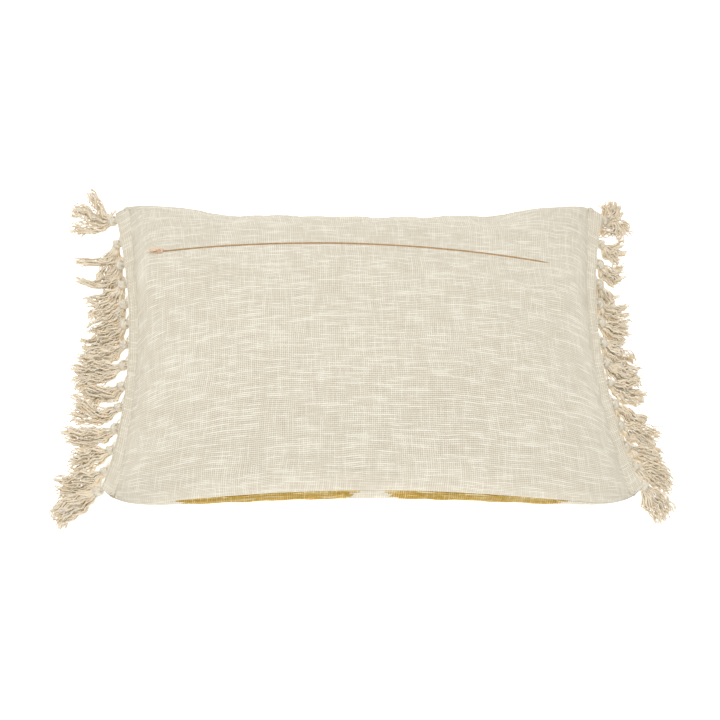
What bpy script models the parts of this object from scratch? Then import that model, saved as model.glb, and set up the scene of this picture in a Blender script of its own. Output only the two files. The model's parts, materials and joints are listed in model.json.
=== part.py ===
"""A lumbar throw pillow that lies face down: zipped cover, stuffed insert, and a row of tassels on each short side.

X runs along the pillow, Y towards the zipped edge, Z up from the surface that it lies on.
The origin is under the middle of the pillow, on that surface.
"""

import math
from collections import namedtuple

import bmesh
import bpy
from mathutils import Matrix, Vector

# Filled cover, seam to seam
HALF_LENGTH = 0.281
HALF_WIDTH = 0.207
SHORT_SIDE_PULL_IN = 0.0215
LONG_SIDE_PULL_IN = 0.0238
CORNER_TAPER = 0.0152
SEAM_HEIGHT = 0.0621
CORNER_LIFT = 0.0161
CROWN = 0.0737
BELLY = 0.0741

# Cloth layers and the gaps that keep them apart
PANEL_THICKNESS = 0.0010
CASING_THICKNESS = 0.0005
SEAM_GAP = 0.0013
LAYER_GAP = 0.0006
INSERT_INSET = 0.011
INSERT_SLACK = 0.0070
INSERT_BELLY_SLACK = 0.0035
FILLING_INSET = 0.005
FILLING_SLACK = 0.0022

# Flanges on the short sides
FLANGE_WIDTH = 0.010
FLANGE_THICKNESS = 0.0012
FLANGE_GAP = 0.0004

# Tassels: each is a neck, a knot and a skirt, measured outwards from its hinge
TASSELS_PER_SIDE = 14
TASSEL_END_INSET = 0.008
TASSEL_HINGE_GAP = 0.0005
TASSEL_DROOP = math.radians(60.0)
TASSEL_SPLAY = math.radians(10.0)
NECK_START = 0.0018
NECK_RADIUS = 0.0010
NECK_LENGTH = 0.0042
KNOT_RADIUS = 0.0052
KNOT_LENGTH = 0.0100
SKIRT_TOP_RADIUS = 0.0040
SKIRT_SHOULDER_RADIUS = 0.0076
SKIRT_SHOULDER_LENGTH = 0.0180
SKIRT_RADIUS = 0.0095
SKIRT_LENGTH = 0.0480

# Zip: it follows an arc over the back of the pillow, a little proud of the cloth's own line at its ends
ZIP_LENGTH = 0.470
ZIP_CENTRE = Vector((-0.0108, 0.1008))
ZIP_SKEW = math.radians(-2.1)
ZIP_END_LIFT = 0.003
SLIT_HALF_WIDTH = 0.0010
CLOSED_SEAM_HALF_GAP = 0.00015
SLIT_RUNOUT = 0.020
TAPE_WIDTH = 0.011
TAPE_THICKNESS = 0.0005
COIL_WIDTH = 0.0020
COIL_THICKNESS = 0.0012
COIL_HALF_GAP = 0.0005
ZIP_PIECE_GAP = 0.0003
UNDER_PANEL_GAP = 0.0008
STOP_LENGTH = 0.0020
STOP_WIDTH = 0.0010
ZIP_LAND = 0.0150
ZIP_EASING_REACH = 0.0550
ZIP_EASING_SWELL = 0.35

# Slider and pull
SLIDER_LENGTH = 0.0090
SLIDER_WIDTH = 0.0064
SLIDER_PLATE = 0.0010
SLIDER_LIFT = 0.0005
SLIDER_UNDER_PLATE = 0.0008
POST_THICKNESS = 0.0005
POST_LENGTH = 0.0025
LUG_SPREAD = 0.0016
LUG_THICKNESS = 0.0008
LUG_HALF_LENGTH = 0.0010
LUG_TOP_WALL = 0.0005
PIN_RADIUS = 0.0005
PIN_HEIGHT = 0.0020
PIN_CLEARANCE = 0.00025
PULL_LENGTH = 0.0120
PULL_WIDTH = 0.0048
PULL_THICKNESS = 0.0008
PULL_NECK_WIDTH = 0.0024
PULL_NECK_LENGTH = 0.0030

# How finely the soft surfaces and the round pieces are divided
COLUMNS = 26
END_COLUMNS = 3
ROWS = 16
INSERT_COLUMNS = 20
INSERT_ROWS = 12
LOWER_ROWS = 10
UPPER_ROWS = 5
ZIP_STEPS = 24
TASSEL_SIDES = 8
KNOT_RINGS = 4
PIN_SIDES = 16
SMOOTH_ANGLE = math.radians(40.0)
WELD_DISTANCE = 1e-5

SIDE_CURVE = 2.74
SIDE_FULLNESS = 0.5256
CORNER_TAPER_POWER = 16
CORNER_LIFT_POWER = 5.6
TASSEL_SPLAY_POWER = 3
SETTLING_ROUNDS = 12

COTTON = (0.760, 0.700, 0.580)
MUSTARD = (0.560, 0.400, 0.160)
CASING_WHITE = (0.830, 0.820, 0.790)
FIBRE_WHITE = (0.900, 0.890, 0.870)
TAPE_TAN = (0.440, 0.300, 0.170)
COIL_TAN = (0.400, 0.260, 0.140)
BRASS = (0.780, 0.560, 0.300)
YARN = (0.700, 0.620, 0.490)

Pillow = namedtuple("Pillow", "half_length half_width crown belly seam_gap floor zip_drop")
COVER = Pillow(HALF_LENGTH, HALF_WIDTH, CROWN, BELLY, SEAM_GAP, 0.0, 0.0)
INSERT = Pillow(
    HALF_LENGTH - INSERT_INSET,
    HALF_WIDTH - INSERT_INSET,
    CROWN - INSERT_SLACK,
    BELLY - INSERT_BELLY_SLACK,
    SEAM_GAP,
    PANEL_THICKNESS + LAYER_GAP,
    INSERT_SLACK,
)
FILLING = Pillow(
    INSERT.half_length - FILLING_INSET,
    INSERT.half_width - FILLING_INSET,
    INSERT.crown - FILLING_SLACK,
    INSERT.belly - FILLING_SLACK,
    0.0,
    INSERT.floor + CASING_THICKNESS + LAYER_GAP,
    INSERT.zip_drop + FILLING_SLACK,
)


def clear_scene():
    for obj in list(bpy.data.objects):
        bpy.data.objects.remove(obj, do_unlink=True)


def new_collection(name, hidden=False):
    collection = bpy.data.collections.new(name)
    bpy.context.scene.collection.children.link(collection)
    collection.hide_render = hidden
    return collection


def material(name, colour, roughness, metallic=0.0):
    made = bpy.data.materials.new(name)
    made.use_nodes = True
    shader = made.node_tree.nodes["Principled BSDF"]
    shader.inputs["Base Color"].default_value = (*colour, 1.0)
    shader.inputs["Roughness"].default_value = roughness
    shader.inputs["Metallic"].default_value = metallic
    made.diffuse_color = (*colour, 1.0)
    return made


def add_object(name, mesh, finish, smooth_angle=None):
    """An object in the pillow's collection, with its own material."""
    obj = bpy.data.objects.new(name, mesh)
    pillow_parts.objects.link(obj)
    mesh.materials.append(material(name, *finish))
    if smooth_angle is not None:
        mesh.shade_smooth()
        mesh.set_sharp_from_angle(angle=smooth_angle)
    return obj


def mesh_from(bm, name):
    mesh = bpy.data.meshes.new(name)
    bm.to_mesh(mesh)
    bm.free()
    return mesh


def smoothstep(low, high, value):
    x = min(max((value - low) / (high - low), 0.0), 1.0)
    return x * x * (3.0 - 2.0 * x)


# The pillow's surfaces. s runs from -1 to 1 along it, t from -1 to 1 across it.


def width_at(pillow, s):
    taper = CORNER_TAPER * abs(s) ** CORNER_TAPER_POWER
    return pillow.half_width - LONG_SIDE_PULL_IN * (1.0 - s * s) - taper


def half_length_at(pillow, t):
    return pillow.half_length - SHORT_SIDE_PULL_IN * (1.0 - t * t)


def plan_point(pillow, s, t):
    return s * half_length_at(pillow, t), t * width_at(pillow, s)


def seam_level(pillow, s, t):
    """The seam's height: an inner layer stops short of the lifted corners, so it lifts less."""
    share = pillow.half_length * pillow.half_width / (HALF_LENGTH * HALF_WIDTH)
    return SEAM_HEIGHT + CORNER_LIFT * abs(share * s * t) ** CORNER_LIFT_POWER


def swell(s, t):
    """0 at the seam and 1 in the middle, steep at the sides."""
    along = 1.0 - abs(s) ** SIDE_CURVE
    across = 1.0 - abs(t) ** SIDE_CURVE
    return max(along * across, 0.0) ** SIDE_FULLNESS


def plain_top_at(x, y):
    """The cover's height at a point in plan, without the zip in it."""
    s, t = 0.0, 0.0
    for _ in range(SETTLING_ROUNDS):
        s = x / half_length_at(COVER, t)
        t = y / width_at(COVER, s)
    return seam_level(COVER, s, t) + COVER.seam_gap + COVER.crown * swell(s, t)


def zip_arc():
    """Height of the zip's middle, radius of its arc, and its tilt towards the far seam."""
    middle = plain_top_at(ZIP_CENTRE.x, ZIP_CENTRE.y)
    reach = Vector((math.cos(ZIP_SKEW), math.sin(ZIP_SKEW))) * ZIP_LENGTH / 2.0
    ends = [plain_top_at(*(ZIP_CENTRE + side * reach)) for side in (-1, 1)]
    rise = middle - sum(ends) / 2.0 - ZIP_END_LIFT
    radius = ((ZIP_LENGTH / 2.0) ** 2 + rise**2) / (2.0 * rise)
    near = plain_top_at(ZIP_CENTRE.x, ZIP_CENTRE.y - ZIP_LAND)
    far = plain_top_at(ZIP_CENTRE.x, ZIP_CENTRE.y + ZIP_LAND)
    return middle, radius, math.atan2(near - far, 2.0 * ZIP_LAND)


ZIP_TOP, ZIP_ARC_RADIUS, ZIP_TILT = zip_arc()


def zip_coordinates(x, y):
    """How far a point in plan is along the zip from its middle, and how far beside it."""
    dx, dy = x - ZIP_CENTRE.x, y - ZIP_CENTRE.y
    along = dx * math.cos(ZIP_SKEW) + dy * math.sin(ZIP_SKEW)
    beside = dy * math.cos(ZIP_SKEW) - dx * math.sin(ZIP_SKEW)
    return along, beside


def eased_to_zip(x, y, z, drop, fullness):
    """Near the zip the cloth lies on the cone that the slider runs on, or drop below it."""
    along, beside = zip_coordinates(x, y)
    radius = ZIP_ARC_RADIUS - beside * math.tan(ZIP_TILT)
    cone = ZIP_TOP - ZIP_ARC_RADIUS + math.sqrt(max(radius**2 - along**2, 0.0)) - drop
    end = ZIP_LENGTH / 2.0
    near = 1.0 - smoothstep(ZIP_LAND, ZIP_EASING_REACH, abs(beside))
    within = 1.0 - smoothstep(end, end + SLIT_RUNOUT, abs(along))
    return z + (cone - z) * near * within * smoothstep(0.0, ZIP_EASING_SWELL, fullness)


def top_point(pillow, s, t):
    x, y = plan_point(pillow, s, t)
    fullness = swell(s, t)
    z = seam_level(pillow, s, t) + pillow.seam_gap + pillow.crown * fullness
    return Vector((x, y, eased_to_zip(x, y, z, pillow.zip_drop, fullness)))


def bottom_point(pillow, s, t):
    x, y = plan_point(pillow, s, t)
    z = seam_level(pillow, s, t) - pillow.seam_gap - pillow.belly * swell(s, t)
    return Vector((x, y, max(z, pillow.floor)))


def t_beside_zip(s, offset):
    """The t of a point at this column that lies offset to the side of the zip's line."""
    t = ZIP_CENTRE.y / width_at(COVER, s)
    for _ in range(SETTLING_ROUNDS):
        x, y = plan_point(COVER, s, t)
        _, beside = zip_coordinates(x, y)
        t += (offset - beside) / width_at(COVER, s)
    return t


def slit_half_width(s):
    x, _ = plan_point(COVER, s, t_beside_zip(s, 0.0))
    past_end = abs(x - ZIP_CENTRE.x) - ZIP_LENGTH / 2.0
    closed = smoothstep(SLIT_RUNOUT, 2.0 * SLIT_RUNOUT, past_end)
    return SLIT_HALF_WIDTH + (CLOSED_SEAM_HALF_GAP - SLIT_HALF_WIDTH) * closed


def column_place(pillow, column, columns):
    """The s of a column: closer together towards the short sides, with one at each end of the zip."""
    half_length = half_length_at(pillow, ZIP_CENTRE.y / width_at(pillow, 0.0))
    reach = math.cos(ZIP_SKEW) * ZIP_LENGTH / 2.0
    left, right = (ZIP_CENTRE.x - reach) / half_length, (ZIP_CENTRE.x + reach) / half_length
    if column <= END_COLUMNS:
        return -1.0 + (left + 1.0) * (1.0 - math.cos(0.5 * math.pi * column / END_COLUMNS))
    if column >= columns - END_COLUMNS:
        from_end = columns - column
        return 1.0 - (1.0 - right) * (1.0 - math.cos(0.5 * math.pi * from_end / END_COLUMNS))
    return left + (right - left) * (column - END_COLUMNS) / (columns - 2 * END_COLUMNS)


def even_row(row, rows, s):
    return math.sin(math.pi * (row / rows - 0.5))


def lower_row(row, rows, s):
    """Rows from the near seam up to the lower edge of the zip slit."""
    if row == rows:
        return t_beside_zip(s, -slit_half_width(s))
    band = t_beside_zip(s, -ZIP_LAND)
    share = 1.0 - math.cos(0.5 * math.pi * row / (rows - 1))
    return -1.0 + (band + 1.0) * share


def upper_row(row, rows, s):
    """Rows from the upper edge of the zip slit to the far seam."""
    if row == 0:
        return t_beside_zip(s, slit_half_width(s))
    band = t_beside_zip(s, ZIP_LAND)
    share = math.sin(0.5 * math.pi * (row - 1) / (rows - 1))
    return band + (1.0 - band) * share


def surface_grid(pillow, point, columns, rows, row_place, faces_up):
    """A grid laid over one side of a pillow."""
    bm = bmesh.new()
    bmesh.ops.create_grid(bm, x_segments=columns, y_segments=rows, size=1.0)
    for vert in bm.verts:
        column = round((vert.co.x + 1.0) * 0.5 * columns)
        row = round((vert.co.y + 1.0) * 0.5 * rows)
        s = column_place(pillow, column, columns)
        vert.co = point(pillow, s, row_place(row, rows, s))
    if not faces_up:
        bmesh.ops.reverse_faces(bm, faces=bm.faces)
    return bm


def cloth(name, bm, thickness, finish):
    """A sewn sheet: the grid is its outer face, and it is thickened inwards."""
    obj = add_object(name, mesh_from(bm, name), finish, SMOOTH_ANGLE)
    solidify = obj.modifiers.new("cloth thickness", "SOLIDIFY")
    solidify.thickness = thickness
    solidify.offset = -1.0
    return obj


def make_cover():
    front = surface_grid(COVER, bottom_point, COLUMNS, ROWS, even_row, False)
    cloth("front_panel", front, PANEL_THICKNESS, (MUSTARD, 0.9))
    lower = surface_grid(COVER, top_point, COLUMNS, LOWER_ROWS, lower_row, True)
    cloth("back_panel_lower", lower, PANEL_THICKNESS, (COTTON, 0.9))
    upper = surface_grid(COVER, top_point, COLUMNS, UPPER_ROWS, upper_row, True)
    cloth("back_panel_upper", upper, PANEL_THICKNESS, (COTTON, 0.9))


def make_insert():
    size = (INSERT_COLUMNS, INSERT_ROWS, even_row)
    front = surface_grid(INSERT, bottom_point, *size, False)
    cloth("insert_casing_front", front, CASING_THICKNESS, (CASING_WHITE, 0.8))
    back = surface_grid(INSERT, top_point, *size, True)
    cloth("insert_casing_back", back, CASING_THICKNESS, (CASING_WHITE, 0.8))

    filling = surface_grid(FILLING, bottom_point, *size, False)
    upper_half = mesh_from(surface_grid(FILLING, top_point, *size, True), "filling_top")
    filling.from_mesh(upper_half)
    bpy.data.meshes.remove(upper_half)
    bmesh.ops.remove_doubles(filling, verts=filling.verts, dist=WELD_DISTANCE)
    mesh = mesh_from(filling, "polyester_filling")
    add_object("polyester_filling", mesh, (FIBRE_WHITE, 0.95), SMOOTH_ANGLE)


# The short sides: the seam's line, and the flange and the tassels along it


def side_point(side, y):
    """A point on the side seam and the seam's outward direction in plan."""
    t = y / width_at(COVER, 1.0)
    x, _ = plan_point(COVER, side, t)
    slope = side * 2.0 * SHORT_SIDE_PULL_IN * t / width_at(COVER, 1.0)
    outward = Vector((side, -side * slope, 0.0)).normalized()
    return Vector((x, y, seam_level(COVER, side, t))), outward


def make_flange(side, name):
    """A flat double band of the cover's cloth outside the side seam."""
    half_width = width_at(COVER, 1.0)
    bm = bmesh.new()
    bmesh.ops.create_grid(bm, x_segments=1, y_segments=ROWS, size=1.0)
    for vert in bm.verts:
        seam, outward = side_point(side, vert.co.y * half_width)
        reach = FLANGE_GAP + (FLANGE_WIDTH if vert.co.x > 0.0 else 0.0)
        vert.co = seam + outward * reach
    bmesh.ops.recalc_face_normals(bm, faces=bm.faces)
    obj = add_object(name, mesh_from(bm, name), (COTTON, 0.9))
    solidify = obj.modifiers.new("two layers", "SOLIDIFY")
    solidify.thickness = FLANGE_THICKNESS
    solidify.offset = 0.0


def tassel_mesh(name):
    """Half outline of neck, knot and skirt, turned about -Z; the hinge is at the origin."""
    knot_start = NECK_START + NECK_LENGTH
    knot_middle = knot_start + KNOT_LENGTH / 2.0
    outline = [(0.0, NECK_START), (NECK_RADIUS, NECK_START), (NECK_RADIUS, knot_start)]
    for ring in range(1, KNOT_RINGS):
        turn = math.pi * ring / KNOT_RINGS
        outline.append((KNOT_RADIUS * math.sin(turn), knot_middle - KNOT_LENGTH / 2.0 * math.cos(turn)))
    skirt_start = knot_start + KNOT_LENGTH
    outline.append((SKIRT_TOP_RADIUS, skirt_start))
    outline.append((SKIRT_SHOULDER_RADIUS, skirt_start + SKIRT_SHOULDER_LENGTH))
    outline.append((SKIRT_RADIUS, skirt_start + SKIRT_LENGTH))
    outline.append((0.0, skirt_start + SKIRT_LENGTH))

    bm = bmesh.new()
    points = [bm.verts.new((radius, 0.0, -reach)) for radius, reach in outline]
    for first, second in zip(points, points[1:]):
        bm.edges.new((first, second))
    return mesh_from(bm, name)


def tassel_hinge(side, y):
    """Where a tassel's neck leaves the flange, the line it swings about, and the way it points at rest."""
    seam, outward = side_point(side, y)
    hinge = seam + outward * (FLANGE_GAP + FLANGE_WIDTH + TASSEL_HINGE_GAP)
    splay = TASSEL_SPLAY * (y / width_at(COVER, 1.0)) ** TASSEL_SPLAY_POWER
    heading = Vector((side * math.cos(splay), math.sin(splay), 0.0))
    up = Vector((0.0, 0.0, 1.0))
    along = math.cos(TASSEL_DROOP) * heading - math.sin(TASSEL_DROOP) * up
    return hinge, heading.cross(up), along


def make_tassel(side, y, name):
    hinge, hinge_line, along = tassel_hinge(side, y)
    obj = add_object(name, tassel_mesh(name), (YARN, 0.95))
    turned = obj.modifiers.new("turned", "SCREW")
    turned.steps = TASSEL_SIDES
    turned.render_steps = TASSEL_SIDES
    turned.use_merge_vertices = True
    turned.merge_threshold = WELD_DISTANCE
    turned.use_smooth_shade = True
    turn = Matrix((hinge_line.cross(-along), hinge_line, -along)).transposed()
    obj.matrix_world = Matrix.Translation(hinge) @ turn.to_4x4()


def tassel_rows():
    """The distance of each tassel from the middle of its side, far end first."""
    reach = width_at(COVER, 1.0) - TASSEL_END_INSET
    return [reach - 2.0 * reach * number / (TASSELS_PER_SIDE - 1) for number in range(TASSELS_PER_SIDE)]


def make_sides():
    for side, side_name in ((-1, "left"), (1, "right")):
        make_flange(side, f"side_flange_{side_name}")
        for number, y in enumerate(tassel_rows(), start=1):
            make_tassel(side, y, f"tassel_{side_name}_{number:02d}")


# The zip


def zip_frame(along):
    """The zip's own axes at a distance along its arc: X along it, Y across it, Z out of the cloth."""
    turn = along / ZIP_ARC_RADIUS
    heading = Vector((math.cos(ZIP_SKEW), math.sin(ZIP_SKEW), 0.0))
    axle = Vector((-math.sin(ZIP_SKEW), math.cos(ZIP_SKEW), 0.0))
    up = Vector((0.0, 0.0, 1.0))
    radial = math.sin(turn) * heading + math.cos(turn) * up
    forward = math.cos(turn) * heading - math.sin(turn) * up
    across = math.cos(ZIP_TILT) * axle - math.sin(ZIP_TILT) * radial
    out = math.sin(ZIP_TILT) * axle + math.cos(ZIP_TILT) * radial
    centre = Vector((ZIP_CENTRE.x, ZIP_CENTRE.y, ZIP_TOP - ZIP_ARC_RADIUS))
    place = centre + ZIP_ARC_RADIUS * radial
    return Matrix.Translation(place) @ Matrix((forward, across, out)).transposed().to_4x4()


def box(low, high):
    """A box between two corners, from the cube primitive."""
    bm = bmesh.new()
    bmesh.ops.create_cube(bm, size=1.0)
    low, high = Vector(low), Vector(high)
    size = Matrix.Diagonal((high - low).to_4d())
    size[3][3] = 1.0
    bmesh.ops.transform(bm, matrix=Matrix.Translation((low + high) / 2.0) @ size, verts=bm.verts)
    return bm


def zip_strip(name, start, end, inner, outer, depth, thickness, steps, finish):
    """A straight strip of the zip, bent along the arc. inner and outer are its edges across the zip."""
    bm = box((start, min(inner, outer), -depth - thickness), (end, max(inner, outer), -depth))
    for step in range(1, steps):
        cut = start + (end - start) * step / steps
        bmesh.ops.bisect_plane(
            bm,
            geom=bm.verts[:] + bm.edges[:] + bm.faces[:],
            plane_co=(cut, 0.0, 0.0),
            plane_no=(1.0, 0.0, 0.0),
        )
    for vert in bm.verts:
        along, across, out = vert.co
        vert.co = zip_frame(along) @ Vector((0.0, across, out))
    add_object(name, mesh_from(bm, name), finish)


def make_zip_chain():
    end = ZIP_LENGTH / 2.0
    under_panel = PANEL_THICKNESS + UNDER_PANEL_GAP
    coil_outer = COIL_HALF_GAP + COIL_WIDTH
    tape_inner = coil_outer + ZIP_PIECE_GAP
    coil_end = end - STOP_LENGTH - ZIP_PIECE_GAP
    for side, side_name in ((-1, "lower"), (1, "upper")):
        tape = (side * tape_inner, side * (tape_inner + TAPE_WIDTH), under_panel, TAPE_THICKNESS)
        zip_strip(f"zip_tape_{side_name}", -end, end, *tape, ZIP_STEPS, (TAPE_TAN, 0.9))
        coil = (side * COIL_HALF_GAP, side * coil_outer, under_panel, COIL_THICKNESS)
        zip_strip(f"zip_coil_{side_name}", -coil_end, coil_end, *coil, ZIP_STEPS, (COIL_TAN, 0.4))
        stop = (side * COIL_HALF_GAP, side * (COIL_HALF_GAP + STOP_WIDTH), under_panel, COIL_THICKNESS)
        name = f"zip_top_stop_{side_name}"
        zip_strip(name, -end, -end + STOP_LENGTH, *stop, 1, (BRASS, 0.3, 1.0))
    bridge = (-coil_outer, coil_outer, under_panel, COIL_THICKNESS)
    zip_strip("zip_bottom_stop", end - STOP_LENGTH, end, *bridge, 1, (BRASS, 0.3, 1.0))


def join_pieces(base, others):
    """One body from several overlapping ones."""
    for other in others:
        cutters.objects.link(other)
        other.hide_render = True
        other.display_type = "WIRE"
        union = base.modifiers.new(other.name, "BOOLEAN")
        union.operation = "UNION"
        union.object = other


def loose_object(name, bm):
    return bpy.data.objects.new(name, mesh_from(bm, name))


def round_pin(radius, half_width, height):
    """A short cylinder across the zip."""
    bm = bmesh.new()
    bmesh.ops.create_cone(
        bm,
        cap_ends=True,
        segments=PIN_SIDES,
        radius1=radius,
        radius2=radius,
        depth=2.0 * half_width,
        matrix=Matrix.Translation((0.0, 0.0, height)) @ Matrix.Rotation(math.pi / 2.0, 4, "X"),
    )
    return bm


def make_slider():
    """Two plates joined by a post between the coils, with a pin on two lugs for the pull."""
    rest = -ZIP_LENGTH / 2.0 + STOP_LENGTH + ZIP_PIECE_GAP + SLIDER_LENGTH / 2.0
    place = zip_frame(rest)
    half_length, half_width = SLIDER_LENGTH / 2.0, SLIDER_WIDTH / 2.0
    top = SLIDER_LIFT + SLIDER_PLATE
    under = -PANEL_THICKNESS - UNDER_PANEL_GAP - COIL_THICKNESS - ZIP_PIECE_GAP
    pin_height = top + PIN_HEIGHT
    lug_outer = LUG_SPREAD + LUG_THICKNESS

    plate = box((-half_length, -half_width, SLIDER_LIFT), (half_length, half_width, top))
    slider = add_object("zip_slider", mesh_from(plate, "zip_slider"), (BRASS, 0.3, 1.0))
    low = (-half_length, -half_width, under - SLIDER_UNDER_PLATE)
    pieces = [loose_object("slider_under_plate", box(low, (half_length, half_width, under)))]
    post_low = (-POST_LENGTH / 2.0, -POST_THICKNESS / 2.0, under - SLIDER_UNDER_PLATE / 2.0)
    post_high = (POST_LENGTH / 2.0, POST_THICKNESS / 2.0, top - SLIDER_PLATE / 2.0)
    pieces.append(loose_object("slider_post", box(post_low, post_high)))
    for side in (-1, 1):
        inner, outer = sorted((side * LUG_SPREAD, side * lug_outer))
        lug_low = (-LUG_HALF_LENGTH, inner, top - SLIDER_PLATE / 2.0)
        lug_high = (LUG_HALF_LENGTH, outer, pin_height + PIN_RADIUS + LUG_TOP_WALL)
        pieces.append(loose_object(f"slider_lug_{side}", box(lug_low, lug_high)))
    pin = round_pin(PIN_RADIUS, lug_outer - LUG_THICKNESS / 2.0, pin_height)
    pieces.append(loose_object("slider_pin", pin))
    join_pieces(slider, pieces)
    slider.matrix_world = place
    for piece in pieces:
        piece.matrix_world = place

    make_pull(place @ Matrix.Translation((0.0, 0.0, pin_height)))


def make_pull(place):
    """A small tab whose eye turns on the slider's pin. It points away from the zip at rest."""
    eye_hole = PIN_RADIUS + PIN_CLEARANCE
    eye_radius = eye_hole + PULL_THICKNESS
    half_neck, half_width = PULL_NECK_WIDTH / 2.0, PULL_WIDTH / 2.0
    half_thickness = PULL_THICKNESS / 2.0
    tab = box((-PULL_LENGTH, -half_width, -half_thickness), (-PULL_NECK_LENGTH, half_width, half_thickness))
    pull = add_object("zip_pull", mesh_from(tab, "zip_pull"), (BRASS, 0.3, 1.0))
    neck_low = (-PULL_NECK_LENGTH - half_neck, -half_neck, -half_thickness)
    neck_high = (-eye_hole, half_neck, half_thickness)
    eye = round_pin(eye_radius, half_neck, 0.0)
    pieces = [loose_object("pull_neck", box(neck_low, neck_high)), loose_object("pull_eye", eye)]
    join_pieces(pull, pieces)
    hole = loose_object("pull_hole", round_pin(eye_hole, 2.0 * half_neck, 0.0))
    cutters.objects.link(hole)
    hole.hide_render = True
    hole.display_type = "WIRE"
    drill = pull.modifiers.new("pull_hole", "BOOLEAN")
    drill.operation = "DIFFERENCE"
    drill.object = hole
    for obj in (pull, hole, *pieces):
        obj.matrix_world = place


clear_scene()
pillow_parts = new_collection("throw_pillow")
cutters = new_collection("cutters", hidden=True)
make_cover()
make_insert()
make_sides()
make_zip_chain()
make_slider()
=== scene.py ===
"""A lumbar throw pillow that lies face down: zipped slub-weave cover, stuffed insert and knotted tassels."""

import json
import math

import bmesh
import bpy
import numpy as np
from mathutils import Matrix, Vector

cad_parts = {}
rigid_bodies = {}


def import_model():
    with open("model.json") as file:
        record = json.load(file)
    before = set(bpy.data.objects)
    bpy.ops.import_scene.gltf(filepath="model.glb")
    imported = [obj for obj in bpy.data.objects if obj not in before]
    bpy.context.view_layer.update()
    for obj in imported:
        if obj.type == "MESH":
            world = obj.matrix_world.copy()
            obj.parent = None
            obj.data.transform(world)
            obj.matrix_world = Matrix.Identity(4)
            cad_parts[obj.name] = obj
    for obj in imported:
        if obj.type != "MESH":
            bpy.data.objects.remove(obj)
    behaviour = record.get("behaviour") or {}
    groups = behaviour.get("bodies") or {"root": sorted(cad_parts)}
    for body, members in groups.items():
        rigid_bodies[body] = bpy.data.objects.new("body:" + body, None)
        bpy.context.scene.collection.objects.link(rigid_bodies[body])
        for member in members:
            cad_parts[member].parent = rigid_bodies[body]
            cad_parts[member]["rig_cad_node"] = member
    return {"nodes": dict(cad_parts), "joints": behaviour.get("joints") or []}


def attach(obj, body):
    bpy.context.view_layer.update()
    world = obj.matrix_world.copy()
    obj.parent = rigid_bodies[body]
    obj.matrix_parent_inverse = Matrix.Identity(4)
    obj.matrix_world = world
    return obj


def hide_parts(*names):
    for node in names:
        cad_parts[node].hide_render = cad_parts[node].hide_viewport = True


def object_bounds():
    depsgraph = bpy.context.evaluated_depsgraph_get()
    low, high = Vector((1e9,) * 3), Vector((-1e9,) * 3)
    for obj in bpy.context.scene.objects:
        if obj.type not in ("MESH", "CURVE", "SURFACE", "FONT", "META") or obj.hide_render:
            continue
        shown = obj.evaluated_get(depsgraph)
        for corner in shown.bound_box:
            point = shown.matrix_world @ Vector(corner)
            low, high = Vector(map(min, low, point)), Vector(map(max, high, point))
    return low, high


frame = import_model()
cad_low, cad_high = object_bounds()
joints = {joint["name"]: joint for joint in frame["joints"]}
for leftover in list(bpy.data.objects):
    if leftover.type in ("MESH", "LIGHT", "CAMERA") and "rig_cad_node" not in leftover:
        bpy.data.objects.remove(leftover)


# ---------------------------------------------------------------------------------------------------
# The studio. A plain white floor under a white sky, with one wide soft lamp from the upper left
# and a long lens that looks down on the pillow's zipped back.

VIEW_AZIMUTH = math.radians(-6.806)
VIEW_ELEVATION = math.radians(56.792)
VIEW_ROLL = math.radians(5.453)
VIEW_DISTANCE = 1.8558
VIEW_TARGET = Vector((-0.0074, -0.0066, 0.050))
LENS = 80.8
FLOOR_SIZE = 12.0
SKY_STRENGTH = 0.70
FLOOR_GLOW = 0.75

scene = bpy.context.scene
scene.view_settings.view_transform = "Standard"

camera = bpy.data.objects.new("camera", bpy.data.cameras.new("camera"))
scene.collection.objects.link(camera)
scene.camera = camera
camera.data.lens = LENS
camera.data.sensor_width = 36.0
camera.data.clip_start = 0.05
backward = Vector((
    math.sin(VIEW_AZIMUTH) * math.cos(VIEW_ELEVATION),
    -math.cos(VIEW_AZIMUTH) * math.cos(VIEW_ELEVATION),
    math.sin(VIEW_ELEVATION),
))
level_right = Vector((math.cos(VIEW_AZIMUTH), math.sin(VIEW_AZIMUTH), 0.0))
level_up = backward.cross(level_right)
camera_right = math.cos(VIEW_ROLL) * level_right + math.sin(VIEW_ROLL) * level_up
camera_up = math.cos(VIEW_ROLL) * level_up - math.sin(VIEW_ROLL) * level_right
turn = Matrix((camera_right, camera_up, backward)).transposed().to_4x4()
camera.matrix_world = Matrix.Translation(VIEW_TARGET + VIEW_DISTANCE * backward) @ turn

world = bpy.data.worlds.new("white sky")
scene.world = world
world.use_nodes = True
world.node_tree.nodes["Background"].inputs["Color"].default_value = (1.0, 1.0, 1.0, 1.0)
world.node_tree.nodes["Background"].inputs["Strength"].default_value = SKY_STRENGTH


def soft_lamp(name, place, aim, size, power):
    lamp = bpy.data.objects.new(name, bpy.data.lights.new(name, "AREA"))
    scene.collection.objects.link(lamp)
    lamp.data.shape = "DISK"
    lamp.data.size = size
    lamp.data.energy = power
    lamp.location = place
    lamp.rotation_euler = (Vector(aim) - Vector(place)).to_track_quat("-Z", "Y").to_euler()


soft_lamp("key lamp", (-0.30, -0.10, 2.6), (0.0, 0.0, 0.05), 1.8, 25.5)
soft_lamp("far lamp", (0.3, 2.2, 1.9), (0.0, 0.0, 0.05), 1.6, 4.0)

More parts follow.
